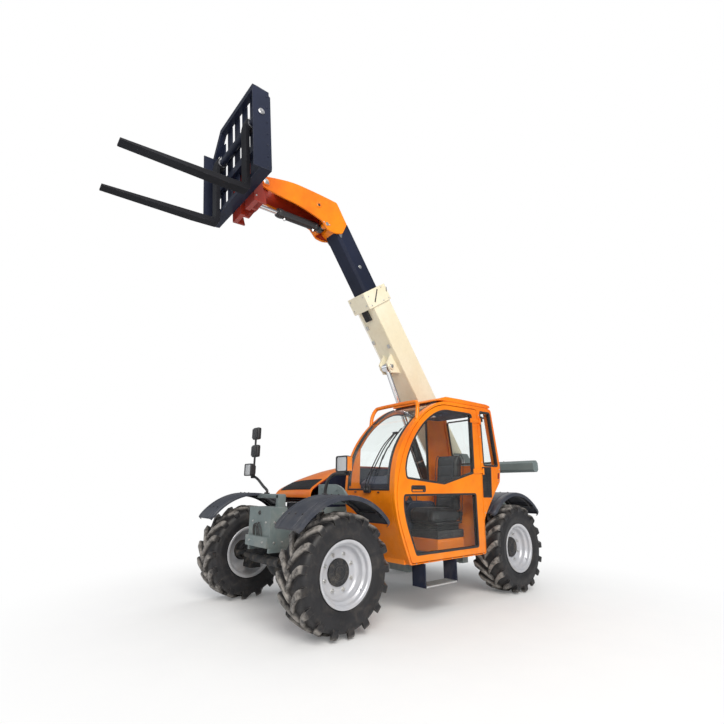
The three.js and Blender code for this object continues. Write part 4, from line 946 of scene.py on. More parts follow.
def fenders():
    for end, name, y, side in WHEELS:
        start, stop = guard_arc(end)
        soup = Soup()
        guard_skin(soup, y, side, start, stop)
        soup.piece(f"{end}_{name}_guard", FENDER, smooth=30, instead=f"{end}_{name}_fender")
        brace = Soup()
        for x in (648, 880):
            angles = np.linspace(start + 8, stop - 8, 30)
            brace.tube([(side * x, *arc_point(y, BRACE_RADIUS, a)) for a in angles], 9, 10)
        for a in (start + 14, -4, 40):
            c = arc_point(y, BRACE_RADIUS, a)
            brace.tube([(side * 612, *c), (side * 925, *c)], 8, 10)
            for x in (680, GUARD_MIDDLE, 870):
                brace.bolt((side * x, *arc_point(y, GUARD_RADIUS + 0.5, a)), (0, sin(a), cos(a)), 7, 5)
        brace.piece(f"{end}_{name}_guard_brace", BLACK)
        arm = Soup()
        if end == "rear":
            arm.box(*span(side, RAIL + 0.3, 640), y - 60, y + 20, SHELF - 40, SHELF, 6)
            arm.box(*span(side, RAIL + 0.3, RAIL + 18), y - 90, y + 50, SHELF - 90, SHELF + 12, 5)
            for dy in (-75, 35):
                for dz in (-75, -5):
                    arm.bolt((side * (RAIL + 18), y + dy, SHELF + dz), (side, 0, 0), 9, 7)
        elif side < 0:
            y0, y1 = FRONT + 40, FRONT + 120
            arm.box(-RAIL - 55, -RAIL - 0.3, y0, y1, 560, SHELF - 4, 5)
            arm.box(-640, -RAIL - 10, y0, y1, SHELF - 40, SHELF, 6)
            for z in (600, 680, 830):
                arm.bolt((-RAIL - 55, y0 + 25, z), (-1, 0, 0), 9, 7)
                arm.bolt((-RAIL - 55, y1 - 20, z), (-1, 0, 0), 9, 7)
        else:
            corner, join_x, y0, y1 = 560, 640, FRONT + 225, FRONT + 250
            panel = rounded([(RAIL + 4, 905), (corner, 905), (join_x, SHELF - 64), (join_x, SHELF - 14),
                             (corner, 1045), (corner - 90, 1075), (RAIL + 4, 1075)], 14)
            arm.slab(panel, y0, y1, "front", bevel=4)
            arm.box(RAIL + 0.3, RAIL + 60, y0, y1, 560, 935, 4)
            arm.box(490, join_x, FRONT + 50, y0 + 10, SHELF - 24, SHELF, 4)
            arm.slab(rounded([(250, 925), (520, 925), (520, 1040), (440, 1058), (250, 1058)], 10), y0 - 4,
                     y0 + 2, "front", bevel=2)
            for x, z in ((268, 945), (500, 945), (268, 1040), (500, 1028)):
                arm.bolt((x, y0 - 4, z), (0, -1, 0), 7, 5)
            for z in (600, 690, 800):
                arm.bolt((RAIL + 30, y0, z), (0, -1, 0), 9, 7)
        arm.piece(f"{end}_{name}_guard_bracket", CHASSIS)


LAMP_WIDTH, LAMP_HEIGHT = 150, 128
MIRRORS_UP = (202, 392)


def lamps():
    lx, ly, lz = 840.0, FRONT + 42, SHELF + 246
    for side, name in ((1, "left"), (-1, "right")):
        arm = Soup()
        ay, top, foot = ly + 40, lz - 72, 515
        line = [(foot + 4, SHELF + 50), (foot + 44, SHELF + 128), (foot + 130, top - 3), (lx - 90, top)]
        if side < 0:
            line = [(foot + 6, SHELF + 36), (foot + 90, SHELF + 76),
                    (lx - 110, top - 30), (lx - 30, top - 4)]
        line = [(foot, SHELF + 6)] + line + [(lx + 4, top)]
        arm.tube(smooth_path([(side * x, ay, z) for x, z in line], 7), 14, 16)
        arm.box(*span(side, foot - 22, foot + 22), ay - 22, ay + 22, SHELF + 0.3, SHELF + 12, 4)
        for dx in (-14, 14):
            arm.bolt((side * foot + dx, ay - 15, SHELF + 12), (0, 0, 1), 5, 4)
        arm.turned([(0, top + 14), (16, top + 14), (19, top + 9), (19, top - 13), (14, top - 17),
                    (0, top - 17)], (side * lx, ay - 12, 0), "Z", 24)
        arm.tube([(side * lx, ay - 12, top + 12), (side * lx, ly + 6, top + 13)], 9, 12)
        if side < 0:
            arm.tube([(-lx, ay, lz - 86), (-lx, ay, lz + 411)], 11, 18)
            arm.turned([(11.2, lz - 70), (17, lz - 66), (17, lz - 40), (11.2, lz - 36)], (-lx, ay, 0),
                       "Z", 20)
        arm.piece(f"{name}_lamp_arm", BLACK, instead=f"{name}_headlight")
        shell = Soup()
        w, h = LAMP_WIDTH, LAMP_HEIGHT
        face = rounded_rect(-w / 2, w / 2, -h / 2, h / 2, 20)
        move = lambda pts, dx, dz, k=1.0: [Vector((p.x * k + dx, p.y * k + dz)) for p in pts]
        cx = side * lx
        shell.slab(move(face, cx, lz), ly - 39, ly - 4, "front", [move(face, cx, lz, 0.86)], bevel=3)
        shell.slab(move(face, cx, lz, 0.97), ly - 20, ly + 18, "front", bevel=9)
        shell.slab(move(face, cx, lz, 0.72), ly + 14, ly + 39, "front", bevel=10)
        for k in range(5):
            shell.box(cx - 40, cx + 40, ly + 18, ly + 34, lz - 44 + k * 22, lz - 38 + k * 22, 1.5)
        shell.piece(f"{name}_lamp_housing", PLASTIC)
        front = Soup()
        front.slab(move(face, cx, lz, 0.86), ly - 33, ly - 19, "front", bevel=5)
        front.piece(f"{name}_lamp_lens", CLEAR_LENS)
        turn_lens = Soup()
        o = cx + side * (w / 2 + 4)
        turn_lens.box(*sorted((o, o - side * 8)), ly - 34, ly + 13, lz - 55, lz + 55, 4)
        turn_lens.piece(f"{name}_turn_lens", AMBER_LENS)
    mirrors, faces = Soup(), Soup()
    for dz in MIRRORS_UP:
        z, y, x0, x1 = lz + dz, ly + 40, -lx - 60, -lx + 72
        shape = rounded_rect(x0, x1, z - 66, z + 66, 22)
        mirrors.slab(shape, y - 16, y + 24, "front", bevel=10)
        mirrors.slab(offset(shape, 14), y - 30, y - 10, "front", bevel=9)
        mirrors.turned([(17, z - 16), (20, z - 12), (20, z + 12), (17, z + 16)], (-lx, y, 0), "Z", 20)
        mirrors.turned([(0, y - 34), (9, y - 33.5), (12, y - 30), (12, y - 22)], (-lx, 0, z), "Y", 18)
        mirrors.slab(rounded([(p.x, p.y) for p in offset(shape, 3)], 4), y + 22, y + 26, "front",
                     [offset(shape, 9)], bevel=1.2)
        faces.slab(offset(shape, 9), y + 23.5, y + 24.6, "front", bevel=0.3)
    mirrors.piece("mirror_housings", PLASTIC)
    faces.piece("mirror_faces", MIRROR)


fenders()
lamps()


# ---------------------------------------------------------------- hood and engine bay

HOOD_INNER, HOOD_OUTER = -207.0, -945.0
HOOD_FRONT, HOOD_REAR = -740.0, 600.0
HOOD_ROLL = 55.0
HOOD_LOW = 880.0
LIP_LOW = 945.0
CROWN_RUN = 620.0


def rise(y):
    """0 at the hood's front edge and 1 from where its top runs level."""
    return min(1, max(0, (y - HOOD_FRONT) / CROWN_RUN))


def crown(y):
    return 1022 + 253 * math.sin(rise(y) * math.pi / 2)


def hood_top(x, y):
    out = (HOOD_INNER - x) / (HOOD_INNER - HOOD_OUTER)
    return crown(y) - (14 + 110 * rise(y)) * max(0, out) ** 2.4


def hood_skin(x, y):
    """Height of the hood's skin, with the roll over its front edge."""
    into = max(0, HOOD_ROLL - (y - HOOD_FRONT))
    return hood_top(x, y) - into ** 2 / (2 * HOOD_ROLL)


def hood():
    """One pressed sheet: the crowned top rolls over into the front, rear and outer sides."""
    inner, outer, front, rear, roll = HOOD_INNER - 4, HOOD_OUTER, HOOD_FRONT, HOOD_REAR, HOOD_ROLL
    quarter = roll * math.pi / 2
    flat_x, flat_y = inner - outer - roll, rear - front - 2 * roll

    def across(d):
        """x and drop at distance d from the inner edge, over the rolled outer edge."""
        if d <= flat_x:
            return inner - d, 0.0
        a = min((d - flat_x) / roll, math.pi / 2)
        return outer + roll - roll * math.sin(a), roll * (1 - math.cos(a))

    def lengthwise(e):
        """y and drop at distance e from the front edge's foot; the same roll at both ends."""
        if e < quarter:
            a = math.pi / 2 - e / roll
            return front + roll - roll * math.sin(a), roll * (1 - math.cos(a))
        if e < quarter + flat_y:
            return front + roll + e - quarter, 0.0
        a = (e - quarter - flat_y) / roll
        return rear - roll + roll * math.sin(a), roll * (1 - math.cos(a))

    ds = [flat_x * k / 14 for k in range(15)] + [flat_x + quarter * k / 6 for k in range(1, 7)]
    es = [quarter * k / 6 for k in range(6)] + [quarter + flat_y * k / 30 for k in range(31)]
    es += [quarter + flat_y + quarter * k / 6 for k in range(1, 7)]
    grid = []
    for e in es:
        y, drop_y = lengthwise(e)
        row = []
        for d in ds:
            x, drop_x = across(d)
            z = hood_top(x, y) - max(drop_x, drop_y) - 0.35 * min(drop_x, drop_y)
            row.append((x, y, z))
        edge = row[-1][2]
        grid.append(row + [(outer, y, edge + (HOOD_LOW - edge) * k / 5) for k in range(1, 6)])
    lip = []
    for j in (3, 2, 1):
        row = []
        for i, (x, _, z) in enumerate(grid[0]):
            low = z + (LIP_LOW - z) * j / 3
            if i >= len(ds) and z <= LIP_LOW:
                low = z
            row.append((x, front, low))
        lip.append(row)
    back = [[(x, rear, z + (HOOD_LOW - z) * j / 4) for x, _, z in grid[-1]] for j in range(1, 5)]
    rows = lip + grid + back
    points = [p for row in rows for p in row]
    faces = grid_faces(len(rows), len(rows[0]))
    obj = make("hood_sheet", points, faces, [ORANGE, RED], "engine_hood", smooth=40)
    # The sheet's underside takes the deep red, a darker copy of the orange: painted shade.
    solid = obj.modifiers.new("sheet", "SOLIDIFY")
    solid.thickness, solid.offset = 0.004, -1
    solid.material_offset = 1
    lip_edge = obj.modifiers.new("rim", "BEVEL")
    lip_edge.width, lip_edge.segments = 0.0012, 2
    lip_edge.limit_method, lip_edge.angle_limit = "ANGLE", math.radians(60)
    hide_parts("engine_hood")

    # The stiffeners under the sheet are in the deep red: painted shade.
    inside = Soup()
    for y in (-560, -200, 160, 480):
        path = [(x, y, hood_top(x, y) - 14) for x in np.linspace(inner - 18, outer + 60, 14)]
        inside.tube(path, 8, 8)
    inside.tube([(inner - 6, y, crown(y) - 12) for y in np.linspace(front + 30, rear - 30, 24)], 7, 8)
    inside.piece("hood_stiffeners", RED, "engine_hood")

    hinge = Soup()
    for y in (-200, 380):
        hinge.tube([(HOOD_INNER - 8, y, 1275), (HOOD_INNER - 8, y + 90, 1275)], 9, 18)
        hinge.box(HOOD_INNER - 62, HOOD_INNER - 8, y + 8, y + 82, 1272.5, 1279, 2)
        for dy in (24, 66):
            hinge.bolt((HOOD_INNER - 42, y + dy, 1279), (0, 0, 1), 5, 4)
    hinge.piece("hood_hinges", BLACK, "engine_hood")

    vent = Soup()
    for k in range(9):
        y = -706 + k * 15.5
        points = []
        for x in np.linspace(-262, -838, 16):
            z = hood_skin(x, y) + 2.4
            slat = [(-5.4, -5), (-5.4, 0.4), (3.0, 3.0), (5.4, 1.2), (5.4, -5)]
            points += [(x, y + dy, z + dz) for dy, dz in slat]
        vent.add(points, ring_faces(16, 5))
    for x in (-258, -842):
        vent.tube([(x, y, hood_skin(x, y) + 1.6) for y in np.linspace(-716, -574, 12)], 5, 8)
    for y in (-716, -573):
        vent.tube([(x, y, hood_skin(x, y) + 1.6) for x in np.linspace(-258, -842, 16)], 5, 8)
    vent.piece("hood_vent", GRILLE, "engine_hood")

    xs, ys = np.linspace(-262, -838, 12), np.linspace(-712, -578, 10)
    points = [(x, y, hood_skin(x, y) + 0.8) for y in ys for x in xs]
    make("hood_vent_mesh", points, grid_faces(10, 12), [GRILLE], "engine_hood")

    slots = Soup()
    for k in range(9):
        y = -130 + k * 46
        slots.slab(rounded_rect(y, y + 26, 925, 1025, 12), outer + 0.2, outer + 3, "side", bevel=0.6)
        slots.box(outer + 0.3, outer + 5, y + 3, y + 12, 930, 1020, 1.4)
    slots.piece("hood_side_vents", GRILLE, "engine_hood")
    latch = Soup()
    for y in (-640, 500):
        latch.slab(rounded_rect(y - 26, y + 26, 893, 933, 10), outer + 0.2, outer + 5, "side", bevel=1.5)
    latch.piece("hood_latches", PLASTIC, "engine_hood")


def engine_bay():
    keep("engine_bay", DARK, 3)
    wall = HOOD_OUTER + 20
    door = Soup()
    door.slab(rounded_rect(-560, -40, 445, 855, 28), wall - 6, wall + 0.5, "side",
              [rounded_rect(-500, -100, 620, 800, 20)], 2.5)
    door.slab(rounded_rect(0, 530, 445, 855, 28), wall - 6, wall + 0.5, "side", [], 2.5)
    for y in (-530, -70, 30, 500):
        for z in (470, 830):
            door.bolt((wall - 6, y, z), (-1, 0, 0), 7, 5)
    door.piece("bay_covers", ORANGE)
    grille = Soup()
    for k in range(10):
        z = 632 + k * 16.5
        grille.box(wall - 5, wall + 4, -498, -102, z, z + 8, 2)
    for k in range(5):
        y = -420 + k * 80
        grille.box(wall - 3.5, wall + 2, y - 3, y + 3, 622, 798, 1)
    front = HOOD_FRONT + 150
    for k in range(12):
        z = 470 + k * 32
        grille.box(-905, -230, front - 6, front + 4, z, z + 14, 3)
    for x in (-900, -680, -455, -235):
        grille.box(x - 7, x + 7, front - 8, front + 3, 455, 862, 3)
    for k in range(9):
        z = 560 + k * 30
        grille.box(-860, -300, 556, 566, z, z + 13, 3)
    grille.piece("bay_grilles", GRILLE)
    intake = Soup()
    for k in range(4):
        z = 892 + k * 22
        intake.box(-900, -240, -612, -592, z, z + 11, 3)
    intake.piece("radiator_bars", GRILLE)


def engine():
    keep("engine_block", ENGINE, 10, 3)
    x0, x1 = HOOD_OUTER + 145, HOOD_INNER - 123
    mid = (x0 + x1) / 2
    cover = Soup()
    for k in range(4):
        y = -385 + k * 172
        cover.box(x0 + 118, x1 - 118, y, y + 130, 958, 974, 6)
        cover.bolt((mid, y + 65, 974), (0, 0, 1), 9, 7)
    cover.turned([(0, 1004), (26, 1004), (30, 1000), (30, 986), (22, 980), (22, 958)],
                 (mid + 40, 232, 0), "Z", 24)
    cover.piece("rocker_covers", IRON)
    exhaust = Soup()
    for k in range(4):
        y = -360 + k * 165
        exhaust.tube(smooth_path([(x1 - 2, y, 760), (x1 + 28, y, 770), (x1 + 40, y + 30, 740)], 6), 17, 14)
    exhaust.tube([(x1 + 40, -350, 742), (x1 + 40, 250, 742)], 24, 16)
    exhaust.piece("exhaust_manifold", IRON)
    cleaner = Soup()
    cleaner.turned([(0, -330), (44, -330), (54, -322), (58, -300), (58, 40), (52, 62), (40, 70), (0, 70)],
                   (x0 + 46, 0, 915), "Y", 36)
    for y in (-240, -20):
        cleaner.turned([(58.5, y - 9), (61, y - 7), (61, y + 7), (58.5, y + 9)], (x0 + 46, 0, 915), "Y", 36)
    cleaner.tube(bent_path([(x0 + 46, 68, 915), (x0 + 46, 130, 915), (x0 + 120, 170, 925),
                            (x0 + 190, 190, 965)], 40), 24, 16)
    cleaner.piece("air_cleaner", PLASTIC)
    belts = Soup()
    for x, z, r in ((mid, 640, 95), (mid - 90, 800, 48), (mid + 110, 770, 60)):
        belts.turned([(0, -504), (r - 14, -504), (r - 10, -500), (r, -500), (r, -496), (r - 8, -490),
                      (r, -484), (r, -480), (r - 12, -478), (0, -472)], (x, 0, z), "Y", 36)
    belts.piece("engine_pulleys", STEEL, slot="cast_iron")
    belt = Soup()
    loop = [(mid - 95, 640), (mid - 60, 560), (mid, 545), (mid + 60, 560), (mid + 95, 640),
            (mid + 168, 770), (mid + 130, 826), (mid + 90, 828), (mid, 838),
            (mid - 90, 848), (mid - 135, 815)]
    pts = smooth_path([(x, -490, z) for x, z in loop + loop[:1]], 5)[:-1]
    belt.tube(pts, 7, 8, closed=True)
    belt.piece("engine_belt", SEAL)
    lines = Soup()
    lines.tube(smooth_path([(x1 - 60, 200, 862), (x1 - 40, 260, 900), (x1 - 90, 330, 880),
                            (x1 - 160, 345, 780), (x1 - 170, 334, 700)], 8), 11, 12)
    lines.tube(smooth_path([(x0 + 90, 300, 866), (x0 + 120, 352, 900), (x0 + 210, 366, 880),
                            (x0 + 250, 345, 800), (x0 + 240, 334, 720)], 8), 15, 12)
    lines.piece("engine_hoses", HOSE)


hood()
engine_bay()
engine()

# ---------------------------------------------------------------- cab

CAB_SIDE = [(-452, 418), (612, 418), (612, 700), (640, 770), (766, 921), (935, 1101), (965, 1248),
            (866, 1862), (820, 1880), (100, 1880), (-30, 1848), (-150, 1786), (-265, 1706), (-385, 1598),
            (-500, 1459), (-572, 1327), (-610, 1180), (-622, 1023), (-622, 945), (-594, 790), (-532, 600)]
DOOR = [(-430, 432), (600, 432), (622, 1140), (600, 1842), (60, 1838), (-60, 1800), (-190, 1732),
        (-315, 1622), (-430, 1480), (-520, 1300), (-570, 1120), (-594, 945), (-562, 770)]
QUARTER = [(668, 1262), (918, 1262), (836, 1832), (660, 1832)]
RIGHT_WINDOW = [(-470, 1060), (560, 1060), (560, 1830), (80, 1830), (-60, 1785), (-220, 1685),
                (-350, 1565), (-455, 1420)]
UPPER_GLASS = [(-470, 1127), (30, 1080), (500, 1190), (512, 1788), (80, 1788), (-40, 1752), (-160, 1684),
               (-275, 1588), (-385, 1452), (-462, 1300), (-480, 1210)]
LOWER_GLASS = [(-372, 492), (498, 492), (504, 986), (-505, 986), (-510, 880), (-478, 745)]
CAB_RIGHT, CAB_LEFT = 210.0, 900.0
CAB_WALL = 38
SCREEN_RIGHT, SCREEN_LEFT = 257, 831

side_line = rounded(CAB_SIDE, 26, 30, 4)
door_line = rounded(DOOR, 30, 34, 5)
upper_line = rounded(UPPER_GLASS, 34, 17.5, 5)
lower_line = rounded(LOWER_GLASS, 26, 27, 5)
quarter_line = rounded(QUARTER, 24, 20, 5)
right_line = rounded(RIGHT_WINDOW, 34, 27, 5)


def stretch_of(line, keep_point):
    """The longest run of the outline's points that pass a test."""
    n = len(line)
    ok = [keep_point(p) for p in line]
    best = []
    for start in range(n):
        if ok[start] and not ok[start - 1]:
            run = []
            i = start
            while ok[i % n] and len(run) < n:
                run.append(line[i % n])
                i += 1
            if len(run) > len(best):
                best = run
    return best


def band(run, thick):
    """A strip under an open run of the outline."""
    inner = []
    for i, p in enumerate(run):
        a, b = run[max(0, i - 1)], run[min(len(run) - 1, i + 1)]
        t = (b - a).normalized()
        inner.append(p + Vector((-t.y, t.x)) * thick)
    return anticlockwise(run + inner[::-1])


def cab_shell():
    shell = Soup()
    shell.slab(side_line, CAB_LEFT - 38.3, CAB_LEFT, "side", [offset(door_line, -6), quarter_line], 4)
    shell.slab(offset(side_line, 0.5), CAB_LEFT - 60, CAB_LEFT - 38.6, "side",
               [offset(door_line, 34), offset(quarter_line, 2)], 2.5)
    shell.slab(side_line, CAB_RIGHT, CAB_RIGHT + CAB_WALL, "side", [right_line], 4)
    x0, x1 = CAB_RIGHT + 36, CAB_LEFT - 58
    front_low = stretch_of(side_line, lambda p: p.x < -440 and p.y < 1023)
    shell.slab(band(front_low, CAB_WALL), x0, x1, "side", bevel=2)
    rear_low = stretch_of(side_line, lambda p: p.x > 600 and p.y < 1300)
    shell.slab(band(rear_low, CAB_WALL), x0, x1, "side", bevel=2)
    rear_top = stretch_of(side_line, lambda p: p.x > 790 and p.y > 1800)
    shell.slab(band(rear_top, CAB_WALL), x0, x1, "side", bevel=2)
    shell.slab(anticlockwise([(40, 1842), (120, 1842), (120, 1880), (100, 1880), (40, 1866)]), x0,
               x1, "side", bevel=2)
    posts = stretch_of(side_line, lambda p: p.x > 700 and p.y > 1240)
    arc = stretch_of(side_line, lambda p: p.x < 60 and p.y > 1000)
    for a, b, run in ((x0, 269, posts), (819, x1, posts), (x0, 255.5, arc), (832.5, x1, arc)):
        shell.slab(band(run, CAB_WALL), a, b, "side", bevel=2)
    for a, b in ((x0, 270), (818, x1)):
        shell.box(a, b, 118, 800, 1842, 1880, 3)
    shell.box(x0, x1, -470, -431, 418, 456, 3)
    shell.box(x0, x1, 561, 606, 418, 456, 3)
    for a, b in ((x0, 267), (821, x1)):
        shell.box(a, b, -440, 570, 418, 456, 3)
    foot = [(0, -300, 1668), (2, -282, 1760), (30, -256, 1828), (90, -250, 1842)]
    line = [(CAB_RIGHT + 18 + i, y, z) for i, y, z in foot] + [(555, -246, 1846)]
    line += [(CAB_LEFT - 20 - i, y, z) for i, y, z in reversed(foot)]
    shell.tube(smooth_path(line, 9), 19, 18)
    for x in (CAB_RIGHT + 18, CAB_LEFT - 20):
        shell.turned([(0, 1640), (24, 1640), (24, 1652), (20, 1658), (16, 1668), (0, 1668)],
                     (x, -302, 0), "Z", 20)
    shell.piece("cab_shell", ORANGE, smooth=28, weighted=True, instead="cab_frame")

    skirt = Soup()
    for x in np.linspace(270, 820, 6):
        skirt.bolt((x, -455, 437), (0, -1, -0.2), 6, 4)
    for y in np.linspace(-380, 560, 7):
        skirt.bolt((CAB_LEFT - 0.2, y, 425.5), (1, 0, 0), 4.5, 3)
    for y, z in ((640, 800), (745, 930), (905, 1110), (940, 1230), (640, 1300), (640, 1560), (640, 1790)):
        skirt.bolt((CAB_LEFT - 0.2, y, z), (1, 0, 0), 5.5, 4)
    for y, z in ((-520, 980), (-500, 700), (-420, 470), (100, 470), (560, 480), (590, 960),
                 (600, 1500), (-10, 930)):
        skirt.bolt((CAB_RIGHT + 0.2, y, z), (-1, 0, 0), 6, 4)
    skirt.piece("cab_bolts", ZINC, slot="orange_paint")

    keep("cab_roof", ORANGE, 14, 4)
    ribs = Soup()
    for x in (330, 480, 630, 780):
        line = [(x, y, 1931.5 + z) for y, z in ((150, -2.5), (200, 0), (400, 0.3), (600, -1.5),
                                                (760, -4.2), (790, -6))]
        ribs.tube(line, [3, 7, 7, 7, 7, 3], 10)
    ribs.piece("roof_ribs", ORANGE)
    beacon = Soup()
    beacon.slab(rounded_rect(300, 420, 846, 868, 6), 1888, 1908, "top", bevel=3)
    beacon.piece("roof_marker", RED_LENS)


def gaskets():
    strips = Soup()
    strips.slab(offset(quarter_line, -7), 876.2, CAB_LEFT + 1.8, "side", [offset(quarter_line, 13)], 2.5)
    strips.slab(offset(quarter_line, -5), 866, 870, "side", [offset(quarter_line, 12)], 1)
    strips.slab(offset(right_line, -8), CAB_RIGHT - 1.8, 221.8, "side", [offset(right_line, 13)], 2.5)
    strips.slab(offset(right_line, -4), 228.2, 232, "side", [offset(right_line, 12)], 1)
    arc = stretch_of(side_line, lambda p: p.x < 30 and p.y > 1030)
    for x in (SCREEN_RIGHT, SCREEN_LEFT):
        strips.tube([(x, p.x + 3, p.y - 2) for p in arc], 8, 10)
    sill = [(SCREEN_RIGHT, 1040), (SCREEN_RIGHT, 1029), (SCREEN_LEFT, 1029), (SCREEN_LEFT, 1040)]
    strips.tube(bent_path([(x, -617, z) for x, z in sill], 20), 9, 12)
    strips.tube([(SCREEN_RIGHT, 36, 1862), (SCREEN_LEFT, 36, 1862)], 8, 12)
    low, high = ((961 - 99 * (z - 1248) / 614, z) for z in (1306, 1794))
    strips.tube(bent_path([(300, *low), (812, *low), (812, *high), (276, *high), (276, *low), (300, *low)],
                          30), 9, 10)
    inner = offset(door_line, -3.2)
    run = [p for p in inner if p.x < 560]
    start = max(range(len(run)), key=lambda i: (run[i] - run[i - 1]).length)
    run = run[start:] + run[:start]
    strips.tube([(868, p.x, p.y) for p in run], 2.6, 8)
    strips.piece("window_gaskets", SEAL)


def windscreen():
    arc = stretch_of(side_line, lambda p: p.x < 40 and p.y > 1026)
    loop = band(arc, 5)
    n = len(loop)
    points = [(x, p.x, p.y) for x in (SCREEN_RIGHT, SCREEN_LEFT) for p in loop]
    faces = ring_faces(2, n, capped=False)
    for base in (0, n):
        faces += [(base + k, base + k + 1, base + n - 2 - k, base + n - 1 - k) for k in range(n // 2 - 1)]
    make("windscreen_glass", points, faces, [GLASS], smooth=40, instead="windscreen")
    for node in ("right_window", "quarter_window", "rear_window", "door_upper_glass", "door_lower_glass"):
        keep(node, GLASS, 0)

    def on_glass(x, z, out):
        """A point just in front of the windscreen at a height."""
        best = min(range(len(arc) - 1), key=lambda i: abs(arc[i].y - z))
        a, b = arc[best], arc[min(len(arc) - 1, best + 1)]
        t = (b - a).normalized()
        p = a + Vector((t.y, -t.x)) * out
        return (x, p.x, p.y)

    frit = Soup()
    for x0, x1 in ((257.5, 292), (796, 830.5)):
        run = [Vector(on_glass(0, p.y, -6)[1:]) for p in arc if p.y < 1868]
        points = []
        for q in run:
            points += [(x, q.x + d, q.y - d) for x, d in ((x0, 0), (x1, 0), (x1, 0.8), (x0, 0.8))]
        frit.add(points, ring_faces(len(run), 4))
    frit.piece("windscreen_border", SEAL, smooth=40)

    wiper = Soup()
    wiper.slab(rounded_rect(515, 600, 1000, 1062, 12), -648, -622, "front", bevel=6)
    for dx in (0, 34):
        line = [(540 + dx, -652, 1030), on_glass(565 + dx, 1090, 34), on_glass(620 + dx, 1230, 30),
                on_glass(690 + dx, 1400, 28), on_glass(752 + dx * 0.5, 1520, 24)]
        wiper.tube(smooth_path(line, 6), 5.2, 10)
        wiper.turned([(0, -666), (12, -665), (15, -660), (15, -646)], (540 + dx, 0, 1030), "Y", 18)
    end = on_glass(760, 1520, 22)
    wiper.box(736, 792, end[1] - 9, end[1] + 9, end[2] - 12, end[2] + 12, 4)
    for low, high, out, r, sides in ((1210, 1580, 9, 5.5, 8), (1205, 1585, 3.5, 2.6, 6)):
        wiper.tube([on_glass(700 + 0.30 * (z - 1250), z, out) for z in np.linspace(low, high, 16)],
                   r, sides)
    wiper.piece("wiper", PLASTIC)
    nozzle = Soup()
    for x in (380, 700):
        nozzle.box(x - 10, x + 10, -636, -618, 1003, 1013, 3)
    nozzle.piece("washer_nozzles", PLASTIC)


def cab_trim():
    vent = Soup()
    panel = rounded([(623, 948), (769, 945), (793, 1254), (634, 1250)], 10)
    vent.slab(panel, CAB_LEFT - 0.5, CAB_LEFT + 2.5, "side", bevel=1.5)
    for k in range(17):
        t = (k + 0.5) / 17
        z = 956 + t * 286
        a, b = 630 + 10 * t, 764 + 22 * t
        vent.box(CAB_LEFT + 1.5, CAB_LEFT + 6.5, a, b, z - 4.5, z + 3, 1.8, turn=turn_by(-14, "Y"))
    vent.box(CAB_LEFT + 2, CAB_LEFT + 7, 704, 712, 955, 1245, 1.5)
    vent.slab(rounded([(898, 1128), (926, 1138), (932, 1196), (906, 1190)], 9), CAB_LEFT - 0.5,
              CAB_LEFT + 3, "side", bevel=1.5)
    vent.piece("cab_side_vent", GRILLE)
    marker = Soup()
    marker.slab(rounded([(904, 1136), (922, 1142), (926, 1188), (910, 1184)], 7), CAB_LEFT + 2.2,
                CAB_LEFT + 5.5, "side", bevel=1.5)
    marker.piece("cab_side_marker", RED_LENS)
    grab = Soup()
    for x in (300, 810):
        grab.box(x - 38, x + 38, 28, 46, 1872, 1878, 2)
    grab.piece("roof_lamp_brackets", BLACK)


def door():
    shell = Soup()
    shell.slab(door_line, CAB_LEFT - CAB_WALL, CAB_LEFT, "side", [upper_line, lower_line], 4)
    for z in (1205, 1722):
        shell.slab(rounded([(486, z - 24), (592, z - 20), (592, z + 20), (486, z + 24)], 10), CAB_LEFT - 2,
                   CAB_LEFT + 8, "side", bevel=2.5)
        shell.slab(rounded([(556, z - 20), (636, z - 16), (636, z + 16), (556, z + 20)], 6), CAB_LEFT + 1,
                   CAB_LEFT + 9.5, "side", bevel=2.5)
        shell.turned([(0, z - 32), (8, z - 32), (9.5, z - 30), (9.5, z + 30), (8, z + 32), (0, z + 32)],
                     (CAB_LEFT + 10, 640, 0), "Z", 22)
        for y in (508, 572):
            shell.bolt((CAB_LEFT + 8, y, z), (1, 0, 0), 5.5, 4)
    shell.piece("door_shell", ORANGE, "cab_door", smooth=28, weighted=True, instead="door_frame")
    seals = Soup()
    for line in (upper_line, lower_line):
        seals.slab(offset(line, -7), 884.2, CAB_LEFT + 1.8, "side", [offset(line, 12)], 2.5)
        seals.slab(offset(line, -6), 860.5, 877.8, "side", [offset(line, 11)], 1.5)
    seals.piece("door_gaskets", SEAL, "cab_door")
    handle = Soup()
    handle.slab(rounded([(-414, 1006), (-236, 1006), (-228, 1036), (-236, 1066), (-414, 1066),
                         (-420, 1036)], 16), CAB_LEFT - 0.4, CAB_LEFT + 2.2, "side",
                [rounded_rect(-404, -246, 1014, 1030, 6)], bevel=1)
    handle.tube(bent_path([(CAB_LEFT - 2, -394, 1046), (CAB_LEFT + 17, -392, 1046),
                           (CAB_LEFT + 17, -258, 1046), (CAB_LEFT - 2, -256, 1046)], 16), 7, 14)
    handle.turned([(0, CAB_LEFT + 6), (8, CAB_LEFT + 6), (9, CAB_LEFT + 2), (9, CAB_LEFT)],
                  (0, -262, 1020), "X", 18)
    handle.box(CAB_LEFT - 62, CAB_LEFT - 38, -410, -300, 1020, 1056, 6)
    handle.tube(bent_path([(CAB_LEFT - 38, -360, 1000), (CAB_LEFT - 70, -360, 1000),
                           (CAB_LEFT - 70, -120, 1000), (CAB_LEFT - 38, -120, 1000)], 24), 9, 12)
    handle.piece("door_handle", PLASTIC, "cab_door")


